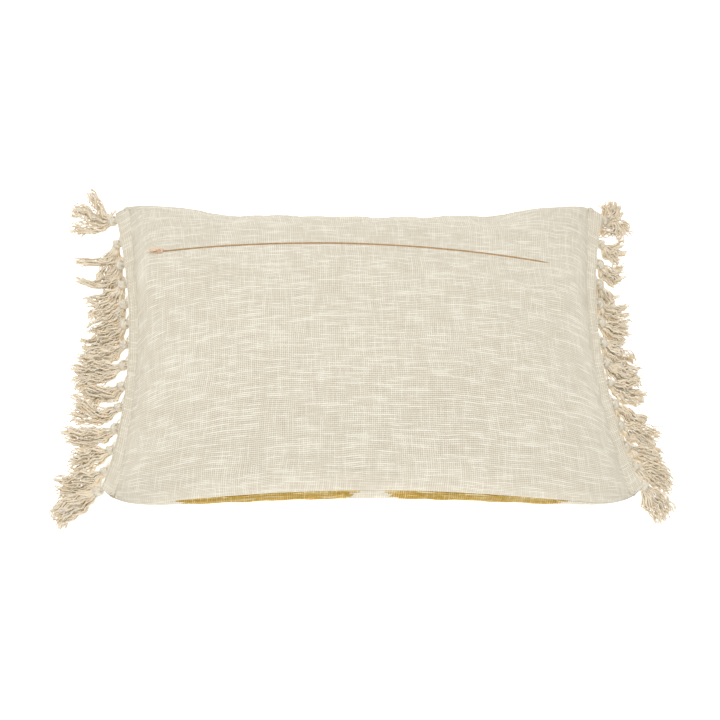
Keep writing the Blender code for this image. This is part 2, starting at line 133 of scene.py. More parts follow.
floor_mesh = bpy.data.meshes.new("floor")
half_floor = FLOOR_SIZE / 2.0
floor_mesh.from_pydata(
    [(-half_floor, -half_floor, 0.0), (half_floor, -half_floor, 0.0),
     (half_floor, half_floor, 0.0), (-half_floor, half_floor, 0.0)], [], [(0, 1, 2, 3)])
floor = bpy.data.objects.new("floor", floor_mesh)
scene.collection.objects.link(floor)
floor.location.z = cad_low.z - 0.0005
floor_paint = bpy.data.materials.new("white_floor")
floor_paint.use_nodes = True
floor_shader = floor_paint.node_tree.nodes["Principled BSDF"]
floor_shader.inputs["Base Color"].default_value = (0.90, 0.90, 0.90, 1.0)
floor_shader.inputs["Roughness"].default_value = 1.0
floor_shader.inputs["Specular IOR Level"].default_value = 0.0
floor_shader.inputs["Emission Color"].default_value = (1.0, 1.0, 1.0, 1.0)
floor_shader.inputs["Emission Strength"].default_value = FLOOR_GLOW
floor_mesh.materials.append(floor_paint)


# ---------------------------------------------------------------------------------------------------
# The form that the stuffing gives the cover. s runs from -1 to 1 along the pillow and t across it;
# both panels meet in a seam all round, and each bows away from it, steep at the sides.

HALF_LENGTH = 0.281
HALF_WIDTH = 0.207
SHORT_SIDE_PULL_IN = 0.0215
LONG_SIDE_PULL_IN = 0.0238
CORNER_TAPER = 0.0152
CORNER_TAPER_POWER = 16
SEAM_HEIGHT = 0.0621
CORNER_LIFT = 0.0161
CORNER_LIFT_POWER = 5.6
CROWN = 0.0737
BELLY = 0.0741
SIDE_CURVE = 2.74
SIDE_FULLNESS = 0.5256
SEAM_GAP = 0.0013
SEAM_LIPS = 0.0004
SHORT_SIDE_EASING = 0.0075
FAR_EDGE_DIP = 0.0088
FAR_EAR_DIP = 0.0120
NEAR_SLANT = 0.0035
NEAR_CORNER_REACH_LEFT = 0.0075
NEAR_CORNER_REACH_RIGHT = 0.0052
LONG_SIDE_BULGE = 0.0056
SHORT_SIDE_BULGE = 0.0020
UPPER_SIDE_BULGE = 0.0030
FLAT_HALF_LENGTH = 0.291
FLAT_HALF_WIDTH = 0.213


def smoothstep(low, high, value):
    x = np.clip((value - low) / (high - low), 0.0, 1.0)
    return x * x * (3.0 - 2.0 * x)


def crowded(count):
    """Places from -1 to 1, closer together towards both ends."""
    return np.sin(0.5 * math.pi * np.linspace(-1.0, 1.0, count))


def crowded_grid(columns, rows):
    return np.meshgrid(crowded(columns), crowded(rows), indexing="ij")


def half_width_at(s):
    return HALF_WIDTH - LONG_SIDE_PULL_IN * (1.0 - s**2) - CORNER_TAPER * np.abs(s) ** CORNER_TAPER_POWER


def half_length_at(t):
    return HALF_LENGTH - SHORT_SIDE_PULL_IN * (1.0 - t**2)


def seam_level(s, t):
    return SEAM_HEIGHT + CORNER_LIFT * np.abs(s * t) ** CORNER_LIFT_POWER


def fullness(s, t):
    """0 at the seam and 1 in the middle."""
    along = np.clip(1.0 - np.abs(s) ** SIDE_CURVE, 0.0, 1.0)
    across = np.clip(1.0 - np.abs(t) ** SIDE_CURVE, 0.0, 1.0)
    return (along * across) ** SIDE_FULLNESS


def seam_gap(s, t):
    """The two panels' edges touch at the seam, and part a little inside it."""
    return SEAM_LIPS + (SEAM_GAP - SEAM_LIPS) * smoothstep(0.02, 0.25, fullness(s, t))


def plan_place(s, t):
    """Where s and t are seen from above; the near corners reach a little further out."""
    corner = np.where(s < 0.0, NEAR_CORNER_REACH_LEFT, NEAR_CORNER_REACH_RIGHT) * np.abs(s) ** 7
    near = np.maximum(-t, 0.0) ** 2
    return s * half_length_at(t), t * half_width_at(s) - (corner + NEAR_SLANT * s) * near


def upper_form(s, t):
    x, y = plan_place(s, t)
    full = 4.0 * fullness(s, t)
    x = x + np.sign(s) * UPPER_SIDE_BULGE * full * np.exp(1.0 - full) * np.abs(s) ** 8
    from_side = HALF_LENGTH * (1.0 - np.abs(s))
    rise = CROWN * fullness(s, t) * (1.0 - np.exp(-from_side / SHORT_SIDE_EASING))
    dip = FAR_EDGE_DIP * (1.0 - smoothstep(0.62, 0.78, np.abs(s)))
    dip = dip + FAR_EAR_DIP * np.exp(-(((np.abs(s) - 0.55) / 0.10) ** 2))
    dip = dip * np.exp(-(((t - 0.93) / 0.16) ** 2))
    z = seam_level(s, t) + seam_gap(s, t) + rise - dip * np.minimum(fullness(s, t) * 2.0, 1.0)
    return np.stack([x, y, z], -1)


def lower_form(s, t):
    """The face that lies on the floor: flat in the middle, and bulging past the seam just below it."""
    x, y = plan_place(s, t)
    seam = seam_level(s, t) - seam_gap(s, t)
    depth = BELLY * fullness(s, t)
    height = np.maximum(seam - depth, 0.0)
    bulge = np.sin(math.pi * np.clip(1.0 - height / seam, 0.0, 1.0)) ** 0.8 * (depth < seam * 1.02)
    x = x + np.sign(s) * SHORT_SIDE_BULGE * bulge * np.abs(s) ** 6 * (1.0 - t**2)
    y = y + np.sign(t) * LONG_SIDE_BULGE * bulge * np.abs(t) ** 6 * (1.0 - s**4)
    return np.stack([x, y, height], -1)


def cloth_shares(form):
    """Where each s or t falls on the flat cloth, as a share of half its size."""
    fine = np.linspace(-1.0, 1.0, 1201)
    shares = []
    for points in (form(fine, 0.0 * fine), form(0.0 * fine, fine)):
        steps = np.linalg.norm(np.diff(points, axis=0), axis=1)
        run = np.concatenate([[0.0], np.cumsum(steps)])
        shares.append(2.0 * run / run[-1] - 1.0)
    return fine, shares


form_fine, (upper_along, upper_across) = cloth_shares(upper_form)
_, (lower_along, lower_across) = cloth_shares(lower_form)


def flat_place(s, t, along, across):
    """The point of the flat cloth, in metres, that lies at s and t."""
    u = FLAT_HALF_LENGTH * np.interp(s, form_fine, along)
    v = FLAT_HALF_WIDTH * np.interp(t, form_fine, across)
    return np.stack([u, v], -1)


# ---------------------------------------------------------------------------------------------------
# The zip's line. The slider turns about a far-off axle, so the slit follows an arc over the back,
# and the cloth beside it is eased onto the shallow cone that the slider runs on.

ZIP_LENGTH = 0.470
ZIP_LAND = 0.015
ZIP_EASING_REACH = 0.085
ZIP_EASING_FULLNESS = 0.42
SLIT_HALF_WIDTH = 0.0012
SLIT_TAPER_LEFT = 0.012
SLIT_TAPER_RIGHT = 0.026
SLIT_LAST_CLOSING = 0.08
ZIP_EASING_RUNOUT = 0.040

slider_joint = joints["slider_run"]
zip_centre = np.array(slider_joint["pos_m"])
zip_axle = np.array(slider_joint["axis"])
zip_heading = np.array([zip_axle[1], -zip_axle[0], 0.0])
pull_axle = np.array(joints["pull_flip"]["axis"])
ZIP_TILT = math.acos(float(zip_axle @ pull_axle))


def upper_height_at(x, y):
    s, t = 0.0, 0.0
    for _ in range(12):
        s = x / half_length_at(t)
        t = y / half_width_at(s)
    return float(upper_form(np.array(s), np.array(t))[2])


ZIP_TOP = upper_height_at(zip_centre[0], zip_centre[1])
ZIP_RADIUS = ZIP_TOP - zip_centre[2]


def zip_coordinates(x, y):
    """How far along the zip from its middle, and how far beside it."""
    dx, dy = x - zip_centre[0], y - zip_centre[1]
    return dx * zip_heading[0] + dy * zip_heading[1], dx * zip_axle[0] + dy * zip_axle[1]


def ease_to_zip(points, s, t):
    x, y, z = points[..., 0], points[..., 1], points[..., 2]
    along, beside = zip_coordinates(x, y)
    radius = ZIP_RADIUS - beside * math.tan(ZIP_TILT)
    cone = zip_centre[2] + np.sqrt(np.maximum(radius**2 - along**2, 0.0))
    near = 1.0 - smoothstep(ZIP_LAND, ZIP_EASING_REACH, np.abs(beside))
    within = 1.0 - smoothstep(ZIP_LENGTH / 2.0, ZIP_LENGTH / 2.0 + ZIP_EASING_RUNOUT, np.abs(along))
    share = near * within * smoothstep(0.0, ZIP_EASING_FULLNESS, fullness(s, t))
    return np.stack([x, y, z + (cone - z) * share], -1)


def t_beside_zip(s, offset):
    t = zip_centre[1] / half_width_at(s)
    for _ in range(12):
        _, beside = zip_coordinates(s * half_length_at(t), t * half_width_at(s))
        t = t + (offset - beside) / half_width_at(s)
    return t


def slit_half_width(s):
    """Narrows to nothing at both ends, more gradually towards the right one."""
    x = s * half_length_at(t_beside_zip(s, 0.0))
    past_end = np.abs(x - zip_centre[0]) - ZIP_LENGTH / 2.0
    start = np.where(x > zip_centre[0], -SLIT_TAPER_RIGHT, -SLIT_TAPER_LEFT)
    closing = smoothstep(start, start * SLIT_LAST_CLOSING, past_end)
    return SLIT_HALF_WIDTH * (1.0 - closing)


# ---------------------------------------------------------------------------------------------------
# The cover's three panels of undyed slub cotton: one front, and a back split by the zip. Each is cut
# flat, sewn with its edges turned in, and drawn tight over the insert.

CLOTH_THICKNESS = 0.0010
TURNED_IN = 0.0045
FRONT_COLUMNS, FRONT_ROWS = 170, 118
BACK_COLUMNS, LOWER_ROWS, UPPER_ROWS = 190, 96, 44
# Distance back from the fold and depth below the surface, row by row, in metres.
HEM_OPEN_ROWS = (
    (0.0010, 0.0), (0.0004, 0.0001), (0.0001, 0.0003), (0.0, 0.0006), (0.0004, 0.0010), (0.0030, 0.00115))
HEM_CLOSED_ROWS = (
    (0.0012, 0.0), (0.0008, 0.0), (0.0004, 0.0), (0.0, 0.0), (-0.0010, 0.0002), (-0.0030, 0.0014))


def finished_object(name, mesh, flat=None):
    """A smooth-shaded object; flat gives each point's place on the flat cloth, in metres."""
    mesh.shade_smooth()
    if flat is not None:
        loops = np.empty(len(mesh.loops), np.int32)
        mesh.loops.foreach_get("vertex_index", loops)
        layer = mesh.uv_layers.new(name="cloth")
        layer.data.foreach_set("uv", flat.reshape(-1, 2)[loops].astype(np.float32).ravel())
    mesh.update()
    made = bpy.data.objects.new(name, mesh)
    scene.collection.objects.link(made)
    return made


def mesh_object(name, points, faces, finish, flat=None):
    mesh = bpy.data.meshes.new(name)
    mesh.from_pydata(points.reshape(-1, 3).tolist(), [], faces.tolist())
    mesh.materials.append(finish)
    return finished_object(name, mesh, flat)


def grid_faces(columns, rows, upward=True):
    """Quads over a grid of columns by rows points, stored column by column."""
    index = np.arange(columns * rows).reshape(columns, rows)
    quads = [index[:-1, :-1], index[1:, :-1], index[1:, 1:], index[:-1, 1:]]
    if not upward:
        quads.reverse()
    return np.stack(quads, -1).reshape(-1, 4)


def closed_shell(top, bottom):
    """One skin over two grids that share their rims, and both grids' point numbers."""
    count = top.shape[0] * top.shape[1]
    index = np.arange(count).reshape(top.shape[:2])
    inside = np.zeros(index.shape, bool)
    inside[1:-1, 1:-1] = True
    under = index.copy()
    under[inside] = count + np.arange(inside.sum())
    points = np.concatenate([top.reshape(-1, 3), bottom[inside]])
    quads = np.stack([under[:-1, :-1], under[:-1, 1:], under[1:, 1:], under[1:, :-1]], -1)
    faces = np.concatenate([grid_faces(*index.shape), quads.reshape(-1, 4)])
    return points, faces, index, under, inside


def thicken(piece, thickness, offset):
    solidify = piece.modifiers.new("cloth thickness", "SOLIDIFY")
    solidify.thickness = thickness
    solidify.offset = offset


def turned_edges(points, flat, sides):
    """Adds the sewn edge outside the grid: a short turn-in towards the pillow's middle on these sides."""
    for side in sides:
        axis, last = {"left": (0, 0), "right": (0, -1), "near": (1, 0), "far": (1, -1)}[side]
        edge = np.take(points, last, axis=axis)
        edge_flat = np.take(flat, last, axis=axis)
        inward = {"left": (1, 0), "right": (-1, 0), "near": (0, 1), "far": (0, -1)}[side]
        rows, rows_flat = [], []
        for share in (0.35, 1.0):
            row = edge.copy()
            row[..., 0] += inward[0] * TURNED_IN * share
            row[..., 1] += inward[1] * TURNED_IN * share
            rows.append(row)
            rows_flat.append(edge_flat - np.array(inward) * TURNED_IN * share)
        if last == 0:
            rows.reverse()
            rows_flat.reverse()
        block, block_flat = np.stack(rows, axis), np.stack(rows_flat, axis)
        order = (block, points) if last == 0 else (points, block)
        order_flat = (block_flat, flat) if last == 0 else (flat, block_flat)
        points = np.concatenate(order, axis)
        flat = np.concatenate(order_flat, axis)
    return points, flat


def feed(tree, socket, value):
    """Sets a socket to a number, or links another socket to it."""
    if isinstance(value, (int, float)):
        socket.default_value = value
    else:
        tree.links.new(value, socket)


def sums_in(tree):
    """A function that adds one math node to this tree and gives its result."""

    def math_of(operation, *values):
        node = tree.nodes.new("ShaderNodeMath")
        node.operation = operation
        for socket, value in zip(node.inputs, values):
            feed(tree, socket, value)
        return node.outputs[0]

    return math_of


def slub_cloth_group():
    """Plain weave with thick uneven weft. Cloth is the place on the flat cloth in metres. The tone carries
    painted shade: each thread is darker at its edges than on its crown, and the weave is darker where it
    lies lower.
    """
    tree = bpy.data.node_groups.new("slub_weave", "ShaderNodeTree")
    face = tree.interface
    face.new_socket("Cloth", in_out="INPUT", socket_type="NodeSocketVector")
    for socket, start in (("Threads per Metre", 450.0), ("Slub Share", 0.5), ("Seed", 0.0)):
        face.new_socket(socket, in_out="INPUT", socket_type="NodeSocketFloat").default_value = start
    for socket in ("Height", "Tone and Shade", "Slub"):
        face.new_socket(socket, in_out="OUTPUT", socket_type="NodeSocketFloat")
    nodes, links = tree.nodes, tree.links
    given = nodes.new("NodeGroupInput")
    result = nodes.new("NodeGroupOutput")

    math_of = sums_in(tree)

    def pair(x, y):
        node = nodes.new("ShaderNodeCombineXYZ")
        for socket, value in zip(node.inputs, (x, y)):
            feed(tree, socket, value)
        return node.outputs[0]

    def noise(vector, scale, detail):
        node = nodes.new("ShaderNodeTexNoise")
        node.noise_dimensions = "2D"
        node.inputs["Scale"].default_value = scale
        node.inputs["Detail"].default_value = detail
        links.new(vector, node.inputs["Vector"])
        return node.outputs[0]

    def ramp(value, low, high):
        node = nodes.new("ShaderNodeMapRange")
        node.interpolation_type = "SMOOTHSTEP"
        links.new(value, node.inputs["Value"])
        node.inputs["From Min"].default_value = low
        node.inputs["From Max"].default_value = high
        return node.outputs[0]

    scaled = nodes.new("ShaderNodeVectorMath")
    scaled.operation = "SCALE"
    links.new(given.outputs["Cloth"], scaled.inputs[0])
    links.new(given.outputs["Threads per Metre"], scaled.inputs["Scale"])
    moved = nodes.new("ShaderNodeVectorMath")
    moved.operation = "ADD"
    links.new(scaled.outputs[0], moved.inputs[0])
    seed = given.outputs["Seed"]
    shift = pair(math_of("MULTIPLY", seed, 311.0), math_of("MULTIPLY", seed, 173.0))
    links.new(shift, moved.inputs[1])
    split = nodes.new("ShaderNodeSeparateXYZ")
    links.new(moved.outputs[0], split.inputs[0])
    wander_y = math_of("MULTIPLY", math_of("SUBTRACT", noise(moved.outputs[0], 0.035, 1.0), 0.5), 2.4)
    wander_x = math_of("MULTIPLY", math_of("SUBTRACT", noise(moved.outputs[0], 0.043, 1.0), 0.5), 2.2)
    across = math_of("ADD", split.outputs[1], wander_y)
    along = math_of("ADD", split.outputs[0], wander_x)

    weft, warp = math_of("FLOOR", across), math_of("FLOOR", along)
    in_weft = math_of("SUBTRACT", math_of("SUBTRACT", across, weft), 0.5)
    in_warp = math_of("SUBTRACT", math_of("SUBTRACT", along, warp), 0.5)
    weft_round = math_of("SUBTRACT", 1.0, math_of("MULTIPLY", math_of("MULTIPLY", in_weft, in_weft), 4.0))
    warp_round = math_of("SUBTRACT", 1.0, math_of("MULTIPLY", math_of("MULTIPLY", in_warp, in_warp), 4.0))

    long_run = noise(pair(math_of("MULTIPLY", along, 0.075), math_of("MULTIPLY", weft, 7.31)), 1.0, 1.0)
    share = math_of("MULTIPLY", math_of("SUBTRACT", given.outputs["Slub Share"], 0.5), 0.3)
    slub = ramp(math_of("ADD", long_run, share), 0.54, 0.70)
    warp_run = noise(pair(math_of("MULTIPLY", warp, 5.71), math_of("MULTIPLY", across, 0.080)), 1.0, 1.0)
    warp_slub = ramp(warp_run, 0.54, 0.68)
    parity = math_of("MULTIPLY", math_of("FRACT", math_of("MULTIPLY", math_of("ADD", weft, warp), 0.5)), 2.0)
    over = math_of("MULTIPLY", parity, math_of("SUBTRACT", 1.0, math_of("MULTIPLY", slub, 0.65)))

    weft_height = math_of("MULTIPLY", weft_round, math_of("MULTIPLY_ADD", slub, 0.45, 0.55))
    warp_height = math_of("MULTIPLY", warp_round, math_of("MULTIPLY_ADD", warp_slub, 0.25, 0.50))
    mixed = nodes.new("ShaderNodeMix")
    links.new(over, mixed.inputs[0])
    links.new(weft_height, mixed.inputs[2])
    links.new(warp_height, mixed.inputs[3])
    height = mixed.outputs[0]

    patchy = noise(moved.outputs[0], 0.030, 2.0)
    warp_shows = ramp(patchy, 0.42, 0.62)
    fibre = noise(moved.outputs[0], 2.3, 2.0)
    weft_shown = math_of("MULTIPLY_ADD", warp_shows, -0.24, 0.54)
    warp_shown = math_of("MULTIPLY_ADD", warp_shows, 0.26, 0.15)
    # Painted shade: each thread is lighter on its crown and darker towards its edges, as light falls across
    # a round yarn; slubs are lightest along their crowns.
    weft_crown_shade = math_of("MULTIPLY", math_of("SUBTRACT", weft_round, 0.67), weft_shown)
    warp_crown_shade = math_of("MULTIPLY", math_of("SUBTRACT", warp_round, 0.67), warp_shown)
    tone = math_of("ADD", math_of("ADD", weft_crown_shade, warp_crown_shade), 0.44)
    tone = math_of("MULTIPLY_ADD", math_of("MULTIPLY", slub, weft_round), 0.22, tone)
    tone = math_of("MULTIPLY_ADD", math_of("MULTIPLY", warp_slub, warp_round), 0.10, tone)
    tone = math_of("MULTIPLY_ADD", math_of("SUBTRACT", long_run, 0.5), 0.45, tone)
    tone = math_of("MULTIPLY_ADD", math_of("SUBTRACT", warp_run, 0.5), 0.30, tone)
    tone = math_of("MULTIPLY_ADD", math_of("SUBTRACT", patchy, 0.5), 0.12, tone)
    tone = math_of("MULTIPLY_ADD", math_of("SUBTRACT", fibre, 0.5), 0.50, tone)
    # Painted shade: the weave is lighter where it stands higher and darker where it lies lower.
    tone = math_of("MULTIPLY_ADD", math_of("SUBTRACT", height, 0.35), 0.35, tone)
    links.new(height, result.inputs["Height"])
    links.new(tone, result.inputs["Tone and Shade"])
    links.new(slub, result.inputs["Slub"])
    return tree


slub_weave = slub_cloth_group()


def place_group(tree, group, values):
    node = tree.nodes.new("ShaderNodeGroup")
    node.node_tree = group
    for name, value in values.items():
        feed(tree, node.inputs[name], value)
    return node


def tone_ramp(tree, factor, stops):
    """A colour ramp; stops are (place, colour)."""
    ramp = tree.nodes.new("ShaderNodeValToRGB")
    elements = ramp.color_ramp.elements
    while len(elements) < len(stops):
        elements.new(0.5)
    for element, (place, colour) in zip(elements, stops):
        element.position = place
        element.color = (*colour, 1.0)
    tree.links.new(factor, ramp.inputs[0])
    return ramp.outputs[0]


def cloth_place(tree):
    place = tree.nodes.new("ShaderNodeUVMap")
    place.uv_map = "cloth"
    return place.outputs[0]


def bump(tree, height, distance, strength=1.0, under=None):
    node = tree.nodes.new("ShaderNodeBump")
    node.inputs["Distance"].default_value = distance
    node.inputs["Strength"].default_value = strength
    tree.links.new(height, node.inputs["Height"])
    if under is not None:
        tree.links.new(under, node.inputs["Normal"])
    return node.outputs[0]


def plain_shader(name, roughness):
    made = bpy.data.materials.new(name)
    made.use_nodes = True
    shader = made.node_tree.nodes["Principled BSDF"]
    shader.inputs["Roughness"].default_value = roughness
    shader.inputs["Specular IOR Level"].default_value = 0.18
    return made, made.node_tree, shader


# The cream cloth's colours over the weave's tone. Its darker end also shows the painted shade between and
# under the threads, as well as the cloth's own uneven tone.
CREAM_STOPS = [
    (0.05, (0.560, 0.500, 0.385)),
    (0.35, (0.715, 0.655, 0.525)),
    (0.60, (0.800, 0.745, 0.615)),
    (0.95, (0.900, 0.855, 0.740)),
]


def cream_fabric(name, seed, slub_share):
    made, tree, shader = plain_shader(name, 0.92)
    woven = {"Cloth": cloth_place(tree), "Seed": seed, "Slub Share": slub_share}
    weave = place_group(tree, slub_weave, woven)
    tree.links.new(tone_ramp(tree, weave.outputs["Tone and Shade"], CREAM_STOPS), shader.inputs["Base Color"])
    tree.links.new(bump(tree, weave.outputs["Height"], 0.00045), shader.inputs["Normal"])
    shader.inputs["Sheen Weight"].default_value = 0.06
    shader.inputs["Sheen Roughness"].default_value = 0.6
    return made


back_cloth = cream_fabric("cream_slub_cotton", 0.0, 0.5)


PATTERN_YARN = 0.0024
PATTERN_STEP = 0.0096
PATTERN_RAGGED = 0.0070
PATTERN_SHIFT = 0.0017
PATTERN_PITCH = 0.2125
PATTERN_REACH = 0.214
PATTERN_EDGE_DEPTH = 0.125
PATTERN_MIDDLE_DEPTH = 0.115


def front_cloth_finish():
    """The cream ground with half diamonds of thick mustard yarn woven in from the long sides."""
    made, tree, shader = plain_shader("patterned_slub_cotton", 0.9)
    nodes, links = tree.nodes, tree.links
    place = cloth_place(tree)
    weave = place_group(tree, slub_weave, {"Cloth": place, "Seed": 3.0, "Slub Share": 0.5})

    math_of = sums_in(tree)
    split = nodes.new("ShaderNodeSeparateXYZ")
    links.new(place, split.inputs[0])
    row = math_of("FLOOR", math_of("DIVIDE", split.outputs[1], PATTERN_YARN))
    step = math_of("FLOOR", math_of("DIVIDE", split.outputs[1], PATTERN_STEP))
    step = math_of("MULTIPLY", step, PATTERN_STEP)
    ragged = nodes.new("ShaderNodeTexWhiteNoise")
    ragged.noise_dimensions = "1D"
    links.new(row, ragged.inputs["W"])
    ragged_by = math_of("MULTIPLY", math_of("SUBTRACT", ragged.outputs[0], 0.5), PATTERN_RAGGED)
    x = math_of("ADD", split.outputs[0], ragged_by)
    repeat = math_of("FRACT", math_of("DIVIDE", math_of("ADD", x, PATTERN_SHIFT), PATTERN_PITCH))
    from_centre = math_of("ABSOLUTE", math_of("SUBTRACT", repeat, 0.5))
    off_axis = math_of("ABSOLUTE", math_of("ADD", step, PATTERN_STEP / 2.0))
    edge = math_of("SUBTRACT", FLAT_HALF_WIDTH, off_axis)
    half = math_of("ADD", math_of("DIVIDE", from_centre, 0.43), math_of("DIVIDE", edge, PATTERN_EDGE_DEPTH))
    in_reach = math_of("LESS_THAN", math_of("ABSOLUTE", x), PATTERN_REACH)
    edge_motif = math_of("MULTIPLY", math_of("LESS_THAN", half, 1.0), in_reach)
    beside_middle = math_of("DIVIDE", math_of("SUBTRACT", 0.5, from_centre), 0.36)
    off_middle = math_of("DIVIDE", math_of("ABSOLUTE", step), PATTERN_MIDDLE_DEPTH)
    middle = math_of("ADD", beside_middle, off_middle)
    ring = math_of("MULTIPLY", math_of("LESS_THAN", middle, 1.0), math_of("GREATER_THAN", middle, 0.42))
    core = math_of("LESS_THAN", middle, 0.2)
    at_side = math_of("LESS_THAN", x, -0.2745)
    corner = math_of("MULTIPLY", at_side, math_of("LESS_THAN", split.outputs[1], -0.203))
    blocks = math_of("ADD", math_of("ADD", edge_motif, ring), math_of("ADD", core, corner))
    motif = math_of("MINIMUM", blocks, 1.0)

    in_yarn = math_of("FRACT", math_of("DIVIDE", split.outputs[1], PATTERN_YARN))
    yarn_across = math_of("SUBTRACT", in_yarn, 0.5)
    yarn_bend = math_of("MULTIPLY", math_of("MULTIPLY", yarn_across, yarn_across), 4.0)
    yarn_round = math_of("SUBTRACT", 1.0, yarn_bend)
    flecks = nodes.new("ShaderNodeTexNoise")
    flecks.inputs["Scale"].default_value = 1.0
    flecks.inputs["Detail"].default_value = 3.0
    stretch = nodes.new("ShaderNodeVectorMath")
    stretch.operation = "MULTIPLY"
    stretch.inputs[1].default_value = (170.0, 900.0, 1.0)
    links.new(place, stretch.inputs[0])
    links.new(stretch.outputs[0], flecks.inputs["Vector"])
    # Painted shade: each thick mustard yarn is lighter along its crown and darker at its edges, and the
    # weave's painted shade shows through; the flecks vary the tone at random.
    mustard_shaded_tone = math_of("MULTIPLY_ADD", yarn_round, 0.20, math_of("MULTIPLY", flecks.outputs[0], 0.55))
    mustard_shaded_tone = math_of("MULTIPLY_ADD", weave.outputs["Tone and Shade"], 0.55, mustard_shaded_tone)
    mustard = tone_ramp(tree, mustard_shaded_tone, [
        (0.42, (0.250, 0.150, 0.025)),
        (0.62, (0.510, 0.320, 0.055)),
        (0.78, (0.640, 0.430, 0.105)),
        (0.96, (0.820, 0.690, 0.400)),
    ])
    cream = tone_ramp(tree, weave.outputs["Tone and Shade"], CREAM_STOPS)
    colour = nodes.new("ShaderNodeMix")
    colour.data_type = "RGBA"
    links.new(motif, colour.inputs[0])
    links.new(cream, colour.inputs[6])
    links.new(mustard, colour.inputs[7])
    links.new(colour.outputs[2], shader.inputs["Base Color"])
    raised = math_of("MULTIPLY", motif, math_of("MULTIPLY_ADD", yarn_round, 1.2, 0.8))
    height = math_of("ADD", raised, weave.outputs["Height"])
    links.new(bump(tree, height, 0.00050), shader.inputs["Normal"])
    return made


front_cloth = front_cloth_finish()


SETTLE_COLUMNS, SETTLE_ROWS = 84, 60
SETTLE_FRAMES = 18
SETTLE_PRESSURE = 1.2
SETTLE_SURPLUS = 0.020
SETTLE_FOLD = 5
SETTLE_MOST = 0.0012
SETTLE_MOST_UNDER = 0.0005


def even_out(field, passes):
    """Averages a grid with its neighbours, over and over."""
    for _ in range(passes):
        for axis in (0, 1):
            padded = np.concatenate([
                np.take(field, [0], axis), field, np.take(field, [-1], axis)], axis)
            count = field.shape[axis]
            parts = [np.take(padded, range(start, start + count), axis) for start in (0, 1, 2)]
            field = (parts[0] + 2.0 * parts[1] + parts[2]) / 4.0
    return field


def settle_cover():
    """The cover as one closed shell with a little cloth to spare, blown against its seams. The form
    already holds the overall swelling, so only the folds are kept: two grids of movements."""
    ss, tt = crowded_grid(SETTLE_COLUMNS, SETTLE_ROWS)
    top = ease_to_zip(upper_form(ss, tt), ss, tt)
    bottom = lower_form(ss, tt)
    points, faces, index, under, inside = closed_shell(top, bottom)
    shell = mesh_object("settling_shell", points, faces, back_cloth)
    _, beside = zip_coordinates(top[..., 0], top[..., 1])
    held = np.where(inside & (np.abs(beside) > ZIP_LAND), 0.0, 1.0)
    held_under = (bottom[..., 2] < 0.0005)[inside].astype(float)
    seams = shell.vertex_groups.new(name="seams")
    for vertex in np.flatnonzero(np.concatenate([held.ravel(), held_under])):
        seams.add([int(vertex)], 1.0, "REPLACE")
    cloth = shell.modifiers.new("settling", "CLOTH")
    cloth.point_cache.frame_end = SETTLE_FRAMES
    settings = cloth.settings
    settings.quality = 6
    settings.mass = 0.0005
    settings.tension_stiffness = 15.0
    settings.compression_stiffness = 15.0
    settings.shear_stiffness = 5.0
    settings.bending_stiffness = 0.05
    settings.tension_damping = 10.0
    settings.compression_damping = 10.0
    settings.vertex_group_mass = "seams"
    settings.pin_stiffness = 1.0
    settings.shrink_min = -SETTLE_SURPLUS
    settings.shrink_max = -SETTLE_SURPLUS
    settings.use_pressure = True
    settings.uniform_pressure_force = SETTLE_PRESSURE
    settings.effector_weights.gravity = 0.0
    cloth.collision_settings.use_collision = False
    for moment in range(1, SETTLE_FRAMES + 1):
        scene.frame_set(moment)
    evaluated = shell.evaluated_get(bpy.context.evaluated_depsgraph_get())
    rested = np.empty(3 * len(points), np.float32)
    evaluated.data.vertices.foreach_get("co", rested)
    moves = rested.reshape(-1, 3) - points
    scene.frame_set(1)
    bpy.data.objects.remove(shell)
    fields = []
    for grid in (index, under):
        field = moves[grid]
        folds = field - even_out(field, SETTLE_FOLD)
        size = np.linalg.norm(folds, axis=-1, keepdims=True) + 1e-9
        most = SETTLE_MOST if grid is index else SETTLE_MOST_UNDER
        fields.append(folds * np.tanh(size / most) * most / size)
    return fields


cover_moves = settle_cover()


def settled(points, s, t, upper):
    """The points with the simulated folds added, which die out at the seams and beside the zip."""
    if cover_moves is None:
        return points
    field = cover_moves[0 if upper else 1]
    across = (np.arcsin(np.clip(s, -1.0, 1.0)) / math.pi + 0.5) * (field.shape[0] - 1)
    along = (np.arcsin(np.clip(t, -1.0, 1.0)) / math.pi + 0.5) * (field.shape[1] - 1)
    column = np.clip(across.astype(int), 0, field.shape[0] - 2)
    row = np.clip(along.astype(int), 0, field.shape[1] - 2)
    a, b = (across - column)[..., None], (along - row)[..., None]
    move = (
        field[column, row] * (1 - a) * (1 - b) + field[column + 1, row] * a * (1 - b)
        + field[column, row + 1] * (1 - a) * b + field[column + 1, row + 1] * a * b
    )
    _, beside = zip_coordinates(points[..., 0], points[..., 1])
    share = smoothstep(0.02, 0.30, fullness(s, t))
    if upper:
        share = share * smoothstep(ZIP_LAND, 2.0 * ZIP_LAND, np.abs(beside))
    points = points + move * share[..., None]
    if not upper:
        points[..., 2] = np.maximum(points[..., 2], 0.0)
    return points


def make_front():
    ss, tt = crowded_grid(FRONT_COLUMNS, FRONT_ROWS)
    points = settled(lower_form(ss, tt), ss, tt, False)
    points[..., 2] += 0.0003
    flat = flat_place(ss, tt, lower_along, lower_across)
    points, flat = turned_edges(points, flat, ("left", "right", "near", "far"))
    faces = grid_faces(*points.shape[:2], upward=False)
    panel = mesh_object("front_cover_panel", points, faces, front_cloth, flat)
    thicken(panel, CLOTH_THICKNESS, -1.0)
    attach(panel, "pillow")
    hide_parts("front_panel")
    return panel


